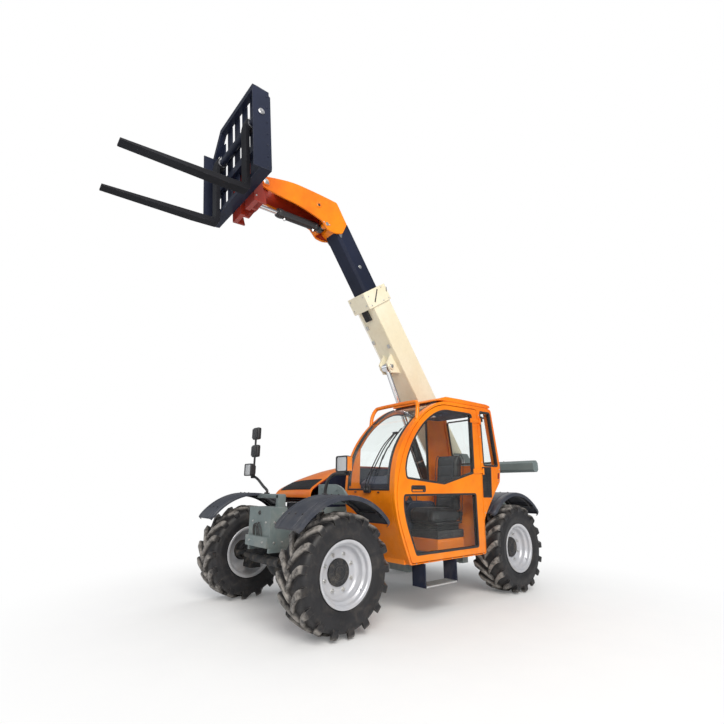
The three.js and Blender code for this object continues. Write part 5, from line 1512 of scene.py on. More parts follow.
def interior():
    keep("cab_floor", PLASTIC, 2)
    keep("dashboard", TRIM, 14, 3)
    mat = Soup()
    mat.slab(rounded_rect(300, 790, -400, 60, 30), 448.5, 454, "top", bevel=2)
    for k in range(12):
        mat.box(320, 770, -370 + k * 34, -356 + k * 34, 453, 457.5, 1.5)
    mat.piece("floor_mat", SEAL)

    wheel = frame_at(555, -190, 1075, -32)
    steering = Soup()
    steering.tube([(a, b, 0) for a, b in around(56, 165)], 12.6, 14, closed=True)
    steering.turned([(0, 17), (22, 16.5), (33, 12), (36, 4), (36, -12), (30, -17), (18, -20), (16, -69.4),
                     (0, -69.4)], (0, 0, 0), "Z", 32)
    for c, d in around(3, 1, 90):
        pts = [(28 * c, 28 * d, 2), (80 * c, 80 * d, -5), (130 * c, 130 * d, -3), (160 * c, 160 * d, 0)]
        steering.tube(smooth_path(pts, 5), [10] * 3 + [8.5] * 10 + [8] * 3, 12)
    steering.piece("steering_wheel_rim", PLASTIC, at=wheel, instead="steering_wheel")
    knob = Soup()
    knob.turned([(0, 46), (14, 44), (19, 36), (19, 26), (12, 16), (6, 14), (6, 4), (0, 4)],
                (-128, 104, 8), "Z", 22)
    knob.piece("steering_knob", PLASTIC, at=wheel)

    cluster = Soup()
    for x in (470, 555, 640):
        cluster.turned([(34, 0), (38, 2), (38, 10), (33, 13), (30, 9), (0, 8)], (x, 0, 0), "Z", 32)
    tilt = frame_at(0, -345, 1138, 24)
    cluster.piece("dash_gauges", PLASTIC, at=tilt)
    marks = Soup()
    for x in (470, 555, 640):
        for a in range(-30, 240, 30):
            across, up = x + 23 * cos(a), 23 * sin(a)
            marks.box(across - 1.2, across + 1.2, up - 1.2, up + 1.2, 9, 10.2, 0.3)
        marks.box(x - 1, x + 1, 0, 20, 10, 11, 0.3)
    marks.piece("dash_gauge_marks", ZINC, slot="black_plastic", at=tilt)
    switches = Soup()
    for k in range(7):
        switches.box(370 + k * 54, 402 + k * 54, -286, -270, 1034, 1062, 4)
    switches.piece("dash_switches", PLASTIC)

    pedals = Soup()
    for x, width in ((435, 60), (545, 60), (665, 70)):
        pedals.box(x - width / 2, x + width / 2, -398, -386, 500, 580, 4, turn=turn_by(-28, "X"))
        for z in range(512, 580, 17):
            pedals.box(x - width / 2 + 6, x + width / 2 - 6, -386, -380, z, z + 8,
                       2, turn=turn_by(-28, "X"))
        pedals.tube(smooth_path([(x, -400, 545), (x, -425, 620), (x, -418, 700)], 6), 7, 10)
    pedals.piece("pedals", PLASTIC)

    base = Soup()
    base.box(372, 740, 84, 478, 448.6, 572, 14)
    base.slab(rounded_rect(110, 450, 466, 552, 22), 739, 744, "side", bevel=2)
    base.piece("seat_pedestal", ORANGE, weighted=True, instead="seat_base")
    bellows = Soup()
    bellows.box(378, 742, 90, 476, 571, 646, 8)
    for a, b in ((98, 276), (286, 468)):
        bellows.box(738, 748, a, b, 580, 636, 3)
        bellows.box(745, 752, (a + b) / 2 - 34, (a + b) / 2 + 34, 600, 612, 3)
    levels = [(640, 0), (648, 14), (656, 2), (664, 14), (672, 2), (680, 14), (688, 2), (696, 10), (704, 0)]
    for pair in zip(levels, levels[1:]):
        points = []
        for z, i in pair:
            fold = rounded_rect(388 + i, 724 - i, 96 + i, 466 - i, 40)
            points += [(p.x, p.y, z) for p in fold]
        bellows.add(points, ring_faces(2, len(fold)))
    bellows.box(380, 732, 88, 474, 702, 719, 6)
    bellows.piece("seat_suspension", SEAL)
    console = Soup()
    console.slab(rounded([(24, 448.6), (500, 448.6), (500, 860), (470, 900), (120, 900), (24, 800)], 30),
                 276, 368, "side", bevel=10)
    console.box(286, 358, 70, 300, 890, 912, 8)
    for k in range(4):
        console.box(296, 318, 320 + k * 36, 344 + k * 36, 897, 906, 3)
        console.box(328, 350, 320 + k * 36, 344 + k * 36, 897, 906, 3)
    console.box(300, 344, 20, 27, 520, 640, 3)
    console.piece("side_console", TRIM, weighted=True)
    stick = Soup()
    stick.turned([(0, 908), (30, 908), (34, 914), (26, 922), (28, 928), (20, 936), (22, 941), (12, 950),
                  (7, 954), (7, 1010), (0, 1010)], (322, 150, 0), "Z", 26)
    stick.turned([(0, 1008), (12, 1008), (15, 1016), (17, 1045), (20, 1072), (19, 1092), (12, 1102),
                  (0, 1105)], (322, 150, 0), "Z", 26)
    stick.turned([(0, 908), (10, 908), (5, 916), (4, 960), (10, 966), (13, 976), (9, 988), (0, 992)],
                 (322, 250, 0), "Z", 20)
    stick.piece("joystick", PLASTIC)

    roof = Soup()
    roof.slab(rounded([(128, 1800), (130, 1874), (786, 1874), (820, 1846), (800, 1812), (700, 1796),
                       (300, 1790)][::-1], 30), 274, 814, "side", bevel=14)
    roof.box(430, 660, 200, 330, 1778, 1800, 8)
    roof.piece("headliner", LINER, weighted=True)
    dome = Soup()
    dome.slab(rounded_rect(480, 610, 220, 300, 20), 1770, 1780, "top", bevel=4)
    dome.piece("dome_lamp", CLEAR_LENS)
    speaker = Soup()
    speaker.box(770, 838, 705, 800, 1736, 1800, 12)
    speaker.turned([(0, 768), (22, 768), (26, 772), (26, 780)], (0, 752, 1768), "X", 22)
    speaker.piece("cab_speaker", PLASTIC)


cab_shell()
gaskets()
windscreen()
cab_trim()
door()
interior()


# ---------------------------------------------------------------- seat

def pad_shape(name, outline, x0, x1):
    """A closed form with rounded rims, remeshed finely enough to swell."""
    points, faces = slab_mesh(rounded(outline, 34, 20, 6), x0, x1, "side", [], 30)
    obj = make(name, points, faces, [VINYL, CLOTH], None, smooth=None)
    remesh = obj.modifiers.new("voxels", "REMESH")
    remesh.mode, remesh.voxel_size = "VOXEL", 0.008
    mesh = bpy.data.meshes.new_from_object(obj.evaluated_get(bpy.context.evaluated_depsgraph_get()))
    obj.modifiers.clear()
    obj.data = mesh
    return obj


SWELL = 0.012
SWELL_FRAMES = 20


def swell(obj):
    """The pad is blown up against its own cloth, and no point may move further than SWELL."""
    rest = np.empty(len(obj.data.vertices) * 3, np.float32)
    obj.data.vertices.foreach_get("co", rest)
    cloth = obj.modifiers.new("cloth", "CLOTH")
    cloth.settings.quality = 4
    cloth.settings.use_pressure = True
    cloth.settings.uniform_pressure_force = 4
    cloth.settings.effector_weights.gravity = 0
    cloth.settings.tension_stiffness = cloth.settings.compression_stiffness = 12
    scene = bpy.context.scene
    for f in range(1, SWELL_FRAMES + 1):
        scene.frame_set(f)
    made = bpy.data.meshes.new_from_object(obj.evaluated_get(bpy.context.evaluated_depsgraph_get()))
    moved = np.empty(len(rest), np.float32)
    made.vertices.foreach_get("co", moved)
    obj.modifiers.clear()
    scene.frame_set(1)
    d = (moved - rest).reshape(-1, 3)
    size = np.linalg.norm(d, axis=1, keepdims=True)
    d *= np.minimum(1, SWELL / np.maximum(size, 1e-9))
    obj.data.vertices.foreach_set("co", rest + d.ravel())


def sew(obj, grooves):
    """Pulls the surface in along sewn lines: each groove is (direction, distance along it, depth, width)."""
    bm = bmesh.new()
    bm.from_mesh(obj.data)
    bmesh.ops.subdivide_edges(bm, edges=bm.edges, cuts=1, smooth=0.6, use_grid_fill=True)
    bm.normal_update()
    moves = []
    for v in bm.verts:
        shift = 0.0
        for axis, where, depth, width in grooves:
            d = (v.co.dot(axis) - where) / width
            shift = max(shift, depth * math.exp(-d * d))
        moves.append(v.normal * -shift)
    for v, m in zip(bm.verts, moves):
        v.co += m
    bm.to_mesh(obj.data)
    bm.free()
    obj.data.shade_smooth()


SEAM_DEPTH, QUILT_DEPTH, SEAM_WIDTH = 0.007, 0.005, 0.006


def seat():
    cushion = pad_shape("seat_cushion", [(38, 728), (470, 728), (486, 792), (420, 838),
                                         (70, 842), (32, 812)], 402, 728)
    swell(cushion)
    X = Vector((1, 0, 0))
    sew(cushion, [(X, x, SEAM_DEPTH, SEAM_WIDTH) for x in (0.462, 0.668)])
    back = pad_shape("seat_backrest", [(414, 812), (500, 806), (572, 1330), (540, 1384),
                                       (502, 1384), (480, 1330)], 412, 718)
    swell(back)
    lean = Vector((0, 0.13, 1)).normalized()
    along = lambda z: Vector(place(0, 470 + (z - 800) * 0.13, z)).dot(lean)
    seams = [(X, x, SEAM_DEPTH, SEAM_WIDTH) for x in (0.468, 0.662)]
    quilting = [(lean, along(z), QUILT_DEPTH, SEAM_WIDTH) for z in (930, 1040, 1150, 1260)]
    sew(back, seams + quilting)
    for obj, up in ((cushion, Vector((0, 0, 1))), (back, Vector((0, -1, 0.13)).normalized())):
        finish_piece(obj, [VINYL, CLOTH], "chassis", "seat_vinyl")
        for poly in obj.data.polygons:
            middle = 0.466 < poly.center.x < 0.664 and poly.normal.dot(up) > 0.55
            poly.material_index = 1 if middle else 0
    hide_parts("driver_seat")
    welt = Soup()
    for x in (400.5, 729.5):
        line = rounded([(46, 736), (466, 736), (480, 792), (418, 832), (74, 836), (38, 810)], 30, 20, 5)
        inside = 10 if x < 500 else -10
        welt.tube([(x + inside * 0.3, p.x, p.y) for p in line], 3.4, 8, closed=True)
        line = rounded([(420, 822), (500, 816), (568, 1330), (540, 1376), (506, 1376), (484, 1330)], 26,
                       20, 5)
        welt.tube([(x + inside * 1.2, p.x, p.y) for p in line], 3.4, 8, closed=True)
    welt.piece("seat_welts", VINYL)
    belt = Soup()
    for x in (392, 738):
        belt.box(x - 7, x + 7, 430, 462, 724, 792, 4)
    belt.box(392, 738, 474, 486, 770, 812, 5)
    belt.piece("seat_frame", BLACK)


seat()

# ---------------------------------------------------------------- boom

def pin_cap(soup, x, y, z, r, out, turn):
    """The end of a hinge pin: a stepped disc, and its keeper's screw beside it."""
    side = 1 if out > 0 else -1
    soup.turned([(0, x - side * 3), (r, x - side * 3), (r, x + out * 0.55), (r * 0.9, x + out * 0.75),
                 (r * 0.45, x + out * 0.8), (r * 0.4, x + out * 0.6), (0, x + out * 0.6)], (0, y, z),
                "X", 28)
    soup.bolt((x + side * 0.5, y + (r + 12) * cos(turn), z + (r + 12) * sin(turn)), (side, 0, 0), 7, 5)


OUTER_HALF, COLLAR_HALF, INNER_HALF = 140, 155, 112


def boom():
    keep("outer_boom", CREAM, 9, 3)
    keep("inner_boom", DARK, 5, 2)
    pads = Soup()
    for y in (-2372, -2230):
        for x in (-78, 0, 78):
            pads.bolt((x, y + 18, 165.5), (0, 0, 1), 9, 6)
    for side in (-1, 1):
        for y, z in ((-2214, 120), (-2214, 20), (-2330, -190), (-2220, -200), (-2370, 70)):
            pads.bolt((side * (COLLAR_HALF + 0.3), y, z), (side, 0, 0), 9, 6)
    for x in (-110, 110):
        for y in (-2350, -2240):
            pads.bolt((x, y, -235.5), (0, 0, -1), 9, 6)
    pads.piece("boom_pad_bolts", ZINC, "outer_boom")
    slits = Soup()
    for slot in ([(-2372, -4), (-2356, 4), (-2232, -122), (-2244, -134)],
                 [(-2348, 158), (-2334, 162), (-2286, 134), (-2296, 124)]):
        line = rounded(slot, 5)
        slits.slab(line, COLLAR_HALF - 1, COLLAR_HALF + 1.6, "side", bevel=1)
        slits.slab(line, -COLLAR_HALF - 1.6, -COLLAR_HALF + 1, "side", bevel=1)
    for half, low, high in ((96, 135.5, 144), (90, -174, -161)):
        slits.box(-half, half, -2391.5, -2384, low, high, 1.5)
    slits.piece("boom_collar_slots", SEAL, "outer_boom")
    weld = Soup()
    for side in (-1, 1):
        weld.tube([(side * (OUTER_HALF + 0.5), y, -172.5) for y in np.linspace(-2186, 130, 40)], 3.2, 6)
        weld.tube([(side * (OUTER_HALF + 1), -2189, z) for z in np.linspace(-165, 135, 8)], 4, 6)
        for x in (51, 75):
            weld.tube([(side * x, y, -175.5) for y in (-1620, -1560, -1480, -1400, -1340)], 4, 6)
    weld.tube([(x, -2189, 146) for x in np.linspace(-128, 128, 6)], 4, 6)
    weld.piece("boom_welds", CREAM, "outer_boom")
    guide = Soup()
    guide.box(-52, 40, -2188, -2062, -204, -175.5, 5)
    for k in range(5):
        guide.box(-46 + k * 18, -36 + k * 18, -2182, -2068, -211, -203, 3)
    guide.piece("boom_chain_guide", PLASTIC, "outer_boom")
    fittings = Soup()
    for x, y in ((-96, -1990), (-110, -1800), (96, -1700)):
        fittings.box(x - 20, x + 20, y - 24, y + 24, -186, -175.5, 4)
        fittings.bolt((x, y, -186), (0, 0, -1), 9, 6)
    fittings.piece("boom_under_fittings", ZINC, "outer_boom")
    pins = Soup()
    for side in (-1, 1):
        pin_cap(pins, side * 90, -LIFT_PIN[0], -LIFT_PIN[1], 22, side * 8, 200)
    pins.piece("lift_pin_ends", ZINC, "outer_boom")
    pipes = Soup()
    for k, z in enumerate((-92, -64, -36)):
        pipes.tube(bent_path([(-141, -2120 + k * 34, z), (-155, -2120 + k * 34, z),
                              (-155, -360 - k * 22, z), (-141, -360 - k * 22, z)], 16), 6.5, 12)
        for y in (-2120 + k * 34, -360 - k * 22):
            pipes.turned([(0, -158), (10, -158), (12, -155), (12, -142), (14, -141), (14, -139), (0, -139)],
                         (0, y, z), "X", 14)
    pipes.piece("boom_pipes", STEEL, "outer_boom")
    clamps = Soup()
    for y in (-1940, -1560, -1180, -800, -480):
        clamps.box(-166, -140.5, y - 16, y + 16, -108, -20, 4)
        for z in (-78, -50):
            clamps.bolt((-166, y, z), (-1, 0, 0), 6, 5, washer=False)
    clamps.piece("boom_pipe_clamps", PLASTIC, "outer_boom")

    inner = Soup()
    for side in (-1, 1):
        inner.turned(outward(side, [(0, 112.2), (21, 112.2), (21, 115.5), (18, 117.5), (8, 117.5), (7, 116),
                                    (0, 116)]), (0, -2680, -57), "X", 28)
    for y in (-3150, -3110):
        for x in (-60, 60):
            inner.bolt((x, y, 80.3), (0, 0, 1), 9, 6)
    inner.piece("inner_boom_bolts", ZINC, "inner_boom")
    gusset = Soup()
    for side in (-1, 1):
        corner = rounded([(-3096, -96), (-3060, -132), (-3150, -150), (-3180, -60)], 6)
        gusset.slab(corner, *span(side, INNER_HALF + 0.2, INNER_HALF + 7), "side", bevel=1.5)
    gusset.piece("inner_boom_gussets", STEEL, "inner_boom")


HEAD = [(-6, 32), (265, 37), (405, -160), (589, -446), (664, -647), (706, -778), (693, -848), (638, -873),
        (583, -838), (473, -696), (329, -498), (120, -305), (4, -284), (-58, -211), (-89, -99)]


def head():
    beyond = lambda outline: [(-TIP - b, h) for b, h in outline]
    line = rounded(beyond(HEAD), 34, 29, 6)
    tilt_pin = (0, -TILT_PIN[0], -TILT_PIN[1])
    hitch_pin = (0, -HITCH_PIN[0], -HITCH_PIN[1])
    disc_at = (0, -3480, -244)
    cheeks = Soup()
    for side in (-1, 1):
        cheeks.slab(line, *span(side, 108, 130), "side", bevel=5)
    roof = [(205, 15), (263, 35), (403, -162), (588, -448), (629, -560), (611, -573),
            (567, -461), (383, -175), (262, -12)]
    cheeks.slab(rounded(beyond(roof), 30, 34, 6), -109.5, 109.5, "side", bevel=3)
    web = [(-60, -43), (218, 21), (277, -30), (181, -120), (93, -168), (18, -183), (-49, -156)]
    cheeks.slab(rounded(beyond(web), 8, 5, 3), -109.5, 109.5, "side", bevel=2)
    for side in (-1, 1):
        cheeks.turned(outward(side, [(22.5, 60), (34, 60), (34, 112), (22.5, 112), (22.5, 60)]),
                      tilt_pin, "X", 28)
        cheeks.turned(outward(side, [(0, 127), (46, 127), (46, 136), (43, 139), (0, 139)]), hitch_pin,
                      "X", 36)
    cheeks.piece("head_cheeks", ORANGE, "inner_boom", smooth=28, weighted=True, instead="boom_head")
    # The cheeks' inner faces are lined in the deep red, a darker copy of the orange: painted shade.
    inside = Soup()
    for side in (-1, 1):
        inside.slab(offset(line, 14), *span(side, 104.5, 108.3), "side", bevel=1)
    inside.piece("head_inside_painted_shade", RED, "inner_boom")
    pins = Soup()
    for side in (-1, 1):
        pins.turned(outward(side, [(0, 137), (30, 137), (30, 142.5), (27, 144), (0, 144)]), hitch_pin,
                    "X", 28)
        pins.turned(outward(side, [(0, 60), (22, 60), (22, 136), (20, 138.5), (0, 138.5)]), tilt_pin,
                    "X", 24)
    pins.turned([(0, -110), (22, -110), (22, 110), (0, 110)], tilt_pin, "X", 24)
    for side in (-1, 1):
        pins.bolt((side * 130, -3286, -289), (side, 0, 0), 8, 6)
        pins.bolt((side * 130, -3237, -231), (side, 0, 0), 8, 6)
        pins.bolt((side * 139, hitch_pin[1] + 34, hitch_pin[2] + 14), (side, 0, 0), 6, 4.5, washer=False)
    pins.piece("head_pins", ZINC, "inner_boom")
    disc = Soup()
    for side in (-1, 1):
        disc.turned(outward(side, [(0, 129), (33, 129), (33, 134), (28, 137), (20, 137), (18, 134.5),
                                   (0, 134.5)]), disc_at, "X", 32)
    disc.piece("head_side_discs", ORANGE, "inner_boom")
    dark = Soup()
    for side in (-1, 1):
        dark.turned(outward(side, [(0, 134), (16, 134), (16, 136.5), (12, 138), (0, 138)]), disc_at,
                    "X", 24)
    dark.piece("head_disc_centres", SEAL, "inner_boom")


boom()
head()


# ---------------------------------------------------------------- cylinders

def cylinders():
    for name, r, end, r_rod in (("lift", 55, 1150, 30), ("tilt", 46, 560, 24)):
        body = f"{name}_cylinder_barrel"
        keep(body, BLACK, 2, 2, smooth=40)
        keep(f"{name}_cylinder_rod", CHROME, 2, 2, smooth=40)
        bands = Soup()
        bands.turned([(r - 0.5, end - 62), (r + 4, end - 60), (r + 5, end - 56), (r + 5, end - 20),
                      (r + 3, end - 16), (r - 0.5, end - 16)], (0, 0, 0), "Y", 40)
        bands.turned([(r - 0.5, 62), (r + 3, 66), (r + 3, 84), (r - 0.5, 90)], (0, 0, 0), "Y", 40)
        for x, z in around(6, r - 9, 15):
            bands.turned([(0, end - 0.5), (4.5, end - 0.5), (4.5, end + 2.5), (0, end + 2.5)],
                         (x, 0, z), "Y", 6)
        bands.piece(body + "_bands", BLACK, body, smooth=40)
        port = Soup()
        for y in (104, end - 92):
            port.turned([(0, r - 3), (15, r - 3), (15, r + 8), (12, r + 10), (12, r + 18), (0, r + 18)],
                        (0, y, 0), "Z", 6)
        port.piece(body + "_ports", STEEL, body)
        if name == "lift":
            pipe = Soup()
            pipe.tube(bent_path([(0, 104, r + 12), (20, 122, r + 12), (20, end - 110, r + 12),
                                 (0, end - 92, r + 12)], 14), 6, 12)
            pipe.piece(body + "_pipe", STEEL, body)
            strap = Soup()
            for y in (end * 0.35, end * 0.68):
                strap.turned([(r + 0.2, y - 9), (r + 2.2, y - 9), (r + 2.2, y + 9), (r + 0.2, y + 9)],
                             (0, 0, 0), "Y", 40)
                strap.box(8, 32, y - 10, y + 10, r - 6, r + 20, 3)
            strap.piece(body + "_clamps", ZINC, body, smooth=40)
        wiper = Soup()
        wiper.turned([(r_rod + 0.6, end - 2), (r_rod + 7, end - 2), (r_rod + 7, end + 3),
                      (r_rod + 4, end + 6), (r_rod + 0.6, end + 6)], (0, 0, 0), "Y", 32)
        wiper.piece(body + "_wiper_seal", SEAL, body, smooth=40)


cylinders()


# ---------------------------------------------------------------- hitch, carriage and forks

FORK_X = 350
SHAFT_Y, SHAFT_Z, SHAFT_RADIUS = -285, 350, 34.4
CARRIAGE_HALF = 600
CARRIAGE_BARS = (-450, -270, -90, 90, 270, 450)


def tool():
    keep("quick_hitch", RED, 5, 3)
    keep("fork_carriage", DARK, 4, 2)
    for node in ("left_fork", "right_fork"):
        keep(node, FORK, 5, 3)
    bolts = Soup()
    for side in (-1, 1):
        pin_cap(bolts, side * 125, *TILT_EYE, 22, side * 6, 300)
        for y, h in ((-170, 150), (-170, 40), (-170, -80), (-170, -280)):
            bolts.bolt((side * 250.3, y, h), (side, 0, 0), 8, 6)
    bolts.piece("hitch_bolts", ZINC, "fork_tool")
    shaft = Soup()
    for side in (-1, 1):
        shaft.turned(outward(side, [(0, 600), (30, 600), (30, 606.5), (27, 608), (14, 608), (12, 605.5),
                                    (0, 605.5)]), (0, SHAFT_Y, SHAFT_Z), "X", 32)
        for x in (410, 290):
            shaft.turned(outward(side, [(SHAFT_RADIUS, x - 9), (42, x - 9), (43, x - 7), (43, x + 7),
                                        (42, x + 9), (SHAFT_RADIUS, x + 9)]), (0, SHAFT_Y, SHAFT_Z),
                         "X", 32)
            shaft.bolt((side * x, SHAFT_Y, SHAFT_Z + 43), (0, 0, 1), 5.5, 4, washer=False)
    shaft.piece("carriage_shaft_collars", STEEL, "fork_tool")
    edge_bolts = Soup()
    for side in (-1, 1):
        for h in (-210, -100, 20, 140, 260, 420, 540):
            edge_bolts.bolt((side * (CARRIAGE_HALF + 0.2), -228, h), (side, 0, 0), 8, 5)
    edge_bolts.piece("carriage_bolts", DARK, "fork_tool")
    weld = Soup()
    for x in CARRIAGE_BARS:
        for edge in (-54, 54):
            for a, c in ((-140, 105), (196, 398)):
                weld.tube([(x + edge, -208, h) for h in (a, (a + c) / 2, c)], 2.5, 6)
    weld.piece("carriage_welds", DARK, "fork_tool")
    worn = Soup()
    for side in (-1, 1):
        x = side * FORK_X
        worn.box(x - 34, x + 34, -1350, -420, -305, -304.2, 0.35)
    worn.piece("fork_wear", STEEL, "fork_tool")
    lock = Soup()
    for side in (-1, 1):
        x = side * FORK_X
        lock.turned([(0, 400), (9, 400), (9, 418), (14, 420), (14, 432), (10, 436), (0, 436)],
                    (x, -292, 0), "Z", 20)
        lock.tube([(x + 9 * cos(a), -292 + 9 * sin(a), 446 + 6 * cos(a)) for a in range(0, 360, 30)],
                  2.2, 8, closed=True)
    lock.piece("fork_stops", ZINC, "fork_tool")


tool()


# ---------------------------------------------------------------- chassis, axles, rear

def chassis():
    keep("chassis_frame", CHASSIS, 4, 2)
    keep("counterweight", CHASSIS, 22, 4)
    keep("rear_light_bar", CHASSIS, 6, 2, slot="dark_paint")
    keep("cab_step", DARK, 3, 2)
    pivot = Soup()
    for side in (-1, 1):
        pin_cap(pivot, side * 217, *PIVOT, 30, side * 7, 250)
    pivot.piece("boom_pivot_caps", ZINC)
    bolts = Soup()
    for side in (-1, 1):
        for y in np.arange(-1120, 1480, 200):
            bolts.bolt((side * (RAIL + 0.3), y, 372), (side, 0, 0), 10, 7)
        for y, z in ((-1360, 600), (-1360, 760), (-1280, 600), (-1280, 830)):
            bolts.bolt((side * 198.2, y, z), (side, 0, 0), 9, 6)
        for y in (-320, 440):
            for x in (260, 480, 700):
                bolts.bolt((side * x, y, 334.6), (0, 0, -1), 10, 6)
    bolts.piece("chassis_bolts", ZINC, slot="chassis_paint")
    tower = Soup()
    for x in (-120, 120):
        tower.bolt((x, -1400.3, 760), (0, -1, 0), 9, 6)
        tower.bolt((x, -1428.3, 602), (0, -1, 0), 9, 6)
    tower.piece("tower_bolts", ZINC, slot="chassis_paint")
    loops = Soup()
    for k, (x, r) in enumerate(((-58, 34), (-30, 46), (20, 40))):
        z0 = 648
        loops.tube(smooth_path([(x - r, -1405, z0), (x - r * 0.9, -1412, z0 + 60),
                                (x, -1416, z0 + 92 + 8 * k), (x + r * 0.9, -1412, z0 + 60),
                                (x + r, -1405, z0)], 6), 5, 8)
    loops.piece("tower_cable_loops", HOSE)
    eye = Soup()
    eye.turned([(0, -1400), (17, -1400), (17, -1404), (12, -1407), (12, -1411), (0, -1411)],
               (0, 0, 835), "Y", 22)
    eye.piece("tower_plug", IRON)
    step = Soup()
    step.box(791, 920.8, -287.6, 114.6, 228, 242.8, 1)
    for y in range(-276, 104, 20):
        for x in (806, 836, 866, 896):
            off = 10 if (x // 30) % 2 else 0
            step.turned([(5.5, 241.6), (5.5, 245.6), (3.2, 246.4), (3.2, 243), (0, 243)],
                        (x, y + off, 0), "Z", 10)
    step.piece("step_tread", ZINC, slot="dark_paint")


def rear():
    red, amber, clear, rims = Soup(), Soup(), Soup(), Soup()
    for side in (-1, 1):
        for x, half, soup in ((800, 60, red), (700, 36, amber), (622, 30, clear)):
            line = rounded_rect(side * x - half, side * x + half, 1250, 1330, 16)
            soup.slab(line, 1796, 1799.5, "front", bevel=3)
            rims.slab(offset(line, -6), 1792, 1797.5, "front", [offset(line, -0.5)], bevel=1.5)
    red.piece("tail_lamps_red", RED_LENS)
    amber.piece("tail_lamps_amber", AMBER_LENS)
    clear.piece("tail_lamps_clear", CLEAR_LENS)
    for k in range(-4, 5):
        rims.bolt((k * 110, 1745, 1358.2), (0, 0, 1), 7, 5)
    rims.piece("tail_lamp_rims", PLASTIC)
    bolts = Soup()
    for side in (-1, 1):
        for z in (560, 700, 840):
            bolts.bolt((side * 160, 1745.2, z), (0, 1, 0), 16, 10)
    bolts.piece("counterweight_bolts", ZINC, slot="chassis_paint")


def axles():
    keep("front_axle", IRON, 6, 3)
    keep("rear_axle", IRON, 6, 3)
    for end, y in (("front", FRONT), ("rear", REAR)):
        for name in ("left", "right"):
            keep(f"{end}_{name}_knuckle", IRON, 5, 3)
        bands = Soup()
        for side in (-1, 1):
            for x in (250, 420):
                bands.bolt((side * x, y, AXLE_Z + 69.5), (0, 0, 1), 9, 6)
                bands.turned(outward(side, [(69, x - 7), (74, x - 7), (75, x - 5), (75, x + 5), (74, x + 7),
                                            (69, x + 7)]), (0, y, AXLE_Z), "X", 32)
        bands.piece(f"{end}_axle_bands", IRON, smooth=40)


chassis()
rear()
axles()


# ---------------------------------------------------------------- stage, lights, camera

def stage():
    s = Shader("studio_floor")
    centre = place(0, 0, 0)
    position = s.node("ShaderNodeNewGeometry").outputs["Position"]
    away = s.node("ShaderNodeVectorMath", operation="DISTANCE")
    s.link(position, away.inputs[0])
    away.inputs[1].default_value = (centre.x, centre.y, 0)
    diffuse = s.node("ShaderNodeBsdfDiffuse")
    s.link(s.mix(s.ramp(s.noise(3, 4), 0.3, 0.7), (0.95, 0.95, 0.95), (0.93, 0.93, 0.935)),
           diffuse.inputs["Color"])
    white = s.node("ShaderNodeEmission")
    white.inputs["Color"].default_value = (1, 1, 1, 1)
    seen = s.node("ShaderNodeLightPath").outputs["Is Camera Ray"]
    fade = s.ramp(away.outputs["Value"], 1.2, 3.7, 0.10, 1.0)
    mixed = s.node("ShaderNodeMixShader")
    s.link(s.math("MULTIPLY", fade, seen), mixed.inputs[0])
    s.link(diffuse.outputs[0], mixed.inputs[1])
    s.link(white.outputs[0], mixed.inputs[2])
    s.link(mixed.outputs[0], s.out.inputs["Surface"])
    mesh = bpy.data.meshes.new("studio_floor")
    mesh.from_pydata([(x, y, -0.0005) for x, y in around(64, 40.0)], [], [tuple(range(64))])
    floor = bpy.data.objects.new("studio_floor", mesh)
    mesh.materials.append(s.mat)
    bpy.context.scene.collection.objects.link(floor)


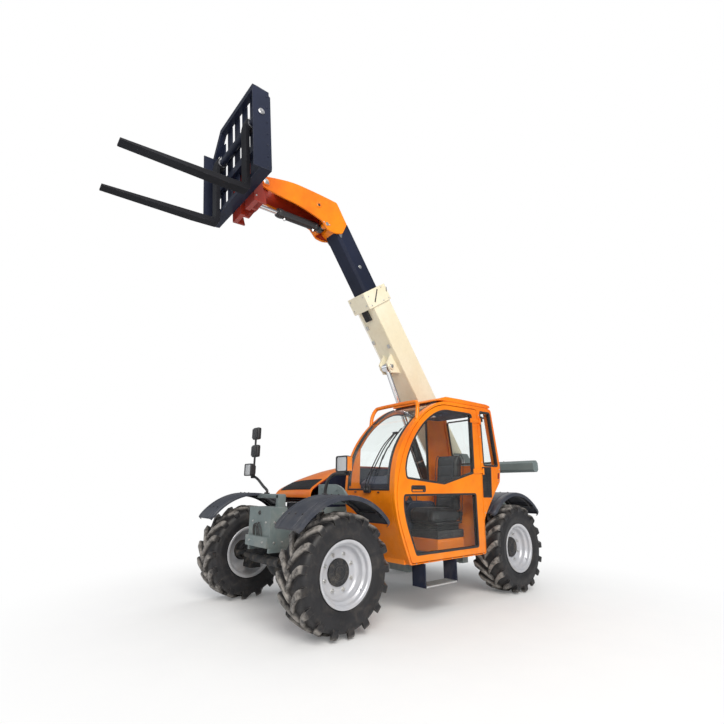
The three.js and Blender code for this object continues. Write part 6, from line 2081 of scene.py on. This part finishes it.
def sky():
    world = bpy.data.worlds.new("studio")
    bpy.context.scene.world = world
    world.use_nodes = True
    tree = world.node_tree
    tree.nodes.clear()
    out = tree.nodes.new("ShaderNodeOutputWorld")
    path = tree.nodes.new("ShaderNodeLightPath")
    light = tree.nodes.new("ShaderNodeBackground")
    light.inputs["Color"].default_value = (0.93, 0.96, 1.0, 1)
    light.inputs["Strength"].default_value = 0.30
    white = tree.nodes.new("ShaderNodeBackground")
    white.inputs["Color"].default_value = (1, 1, 1, 1)
    white.inputs["Strength"].default_value = 1.0
    pick = tree.nodes.new("ShaderNodeMixShader")
    add = tree.nodes.new("ShaderNodeMath")
    add.operation = "MAXIMUM"
    tree.links.new(path.outputs["Is Camera Ray"], add.inputs[0])
    tree.links.new(path.outputs["Is Transmission Ray"], add.inputs[1])
    tree.links.new(add.outputs[0], pick.inputs[0])
    tree.links.new(light.outputs[0], pick.inputs[1])
    tree.links.new(white.outputs[0], pick.inputs[2])
    tree.links.new(pick.outputs[0], out.inputs["Surface"])


def softbox(name, at, aim, size, watts, color=(1, 1, 1)):
    data = bpy.data.lights.new(name, "AREA")
    data.shape = "RECTANGLE"
    data.size, data.size_y = size
    data.energy = watts
    data.color = color
    obj = bpy.data.objects.new(name, data)
    obj.location = at
    obj.rotation_mode = "QUATERNION"
    obj.rotation_quaternion = (Vector(aim) - Vector(at)).to_track_quat("-Z", "Y")
    bpy.context.scene.collection.objects.link(obj)


# The photo's view: the camera's place in metres, how far it looks up and round in degrees, and its lens.
CAMERA_AT = (3.748, -2.7518, 1.056)
CAMERA_UP, CAMERA_ROUND = 15.65, 50.37
LENS_MM, SENSOR_MM = 22.09, 36


def camera():
    data = bpy.data.cameras.new("photo_view")
    data.sensor_width = SENSOR_MM
    data.lens = LENS_MM
    data.clip_start, data.clip_end = 0.05, 200
    obj = bpy.data.objects.new("photo_view", data)
    obj.location = CAMERA_AT
    obj.rotation_mode = "XYZ"
    obj.rotation_euler = (math.radians(90 + CAMERA_UP), 0, math.radians(CAMERA_ROUND))
    bpy.context.scene.collection.objects.link(obj)
    bpy.context.scene.camera = obj


stage()
sky()
softbox("key", (9.0, -4.4, 7.4), (0, 0, 1.4), (7.0, 7.0), 1240, (1.0, 0.97, 0.92))
softbox("top", (0, 1.0, 9.5), (0, 0.4, 1), (9, 9), 170)
softbox("fill", (-6.5, -5.0, 4.5), (0, 0, 1.5), (6, 5), 70, (0.93, 0.96, 1.0))
softbox("back", (-3.5, 8.0, 6.0), (0, 0.5, 1.5), (7, 6), 170)
camera()
bpy.context.scene.view_settings.view_transform = "Standard"
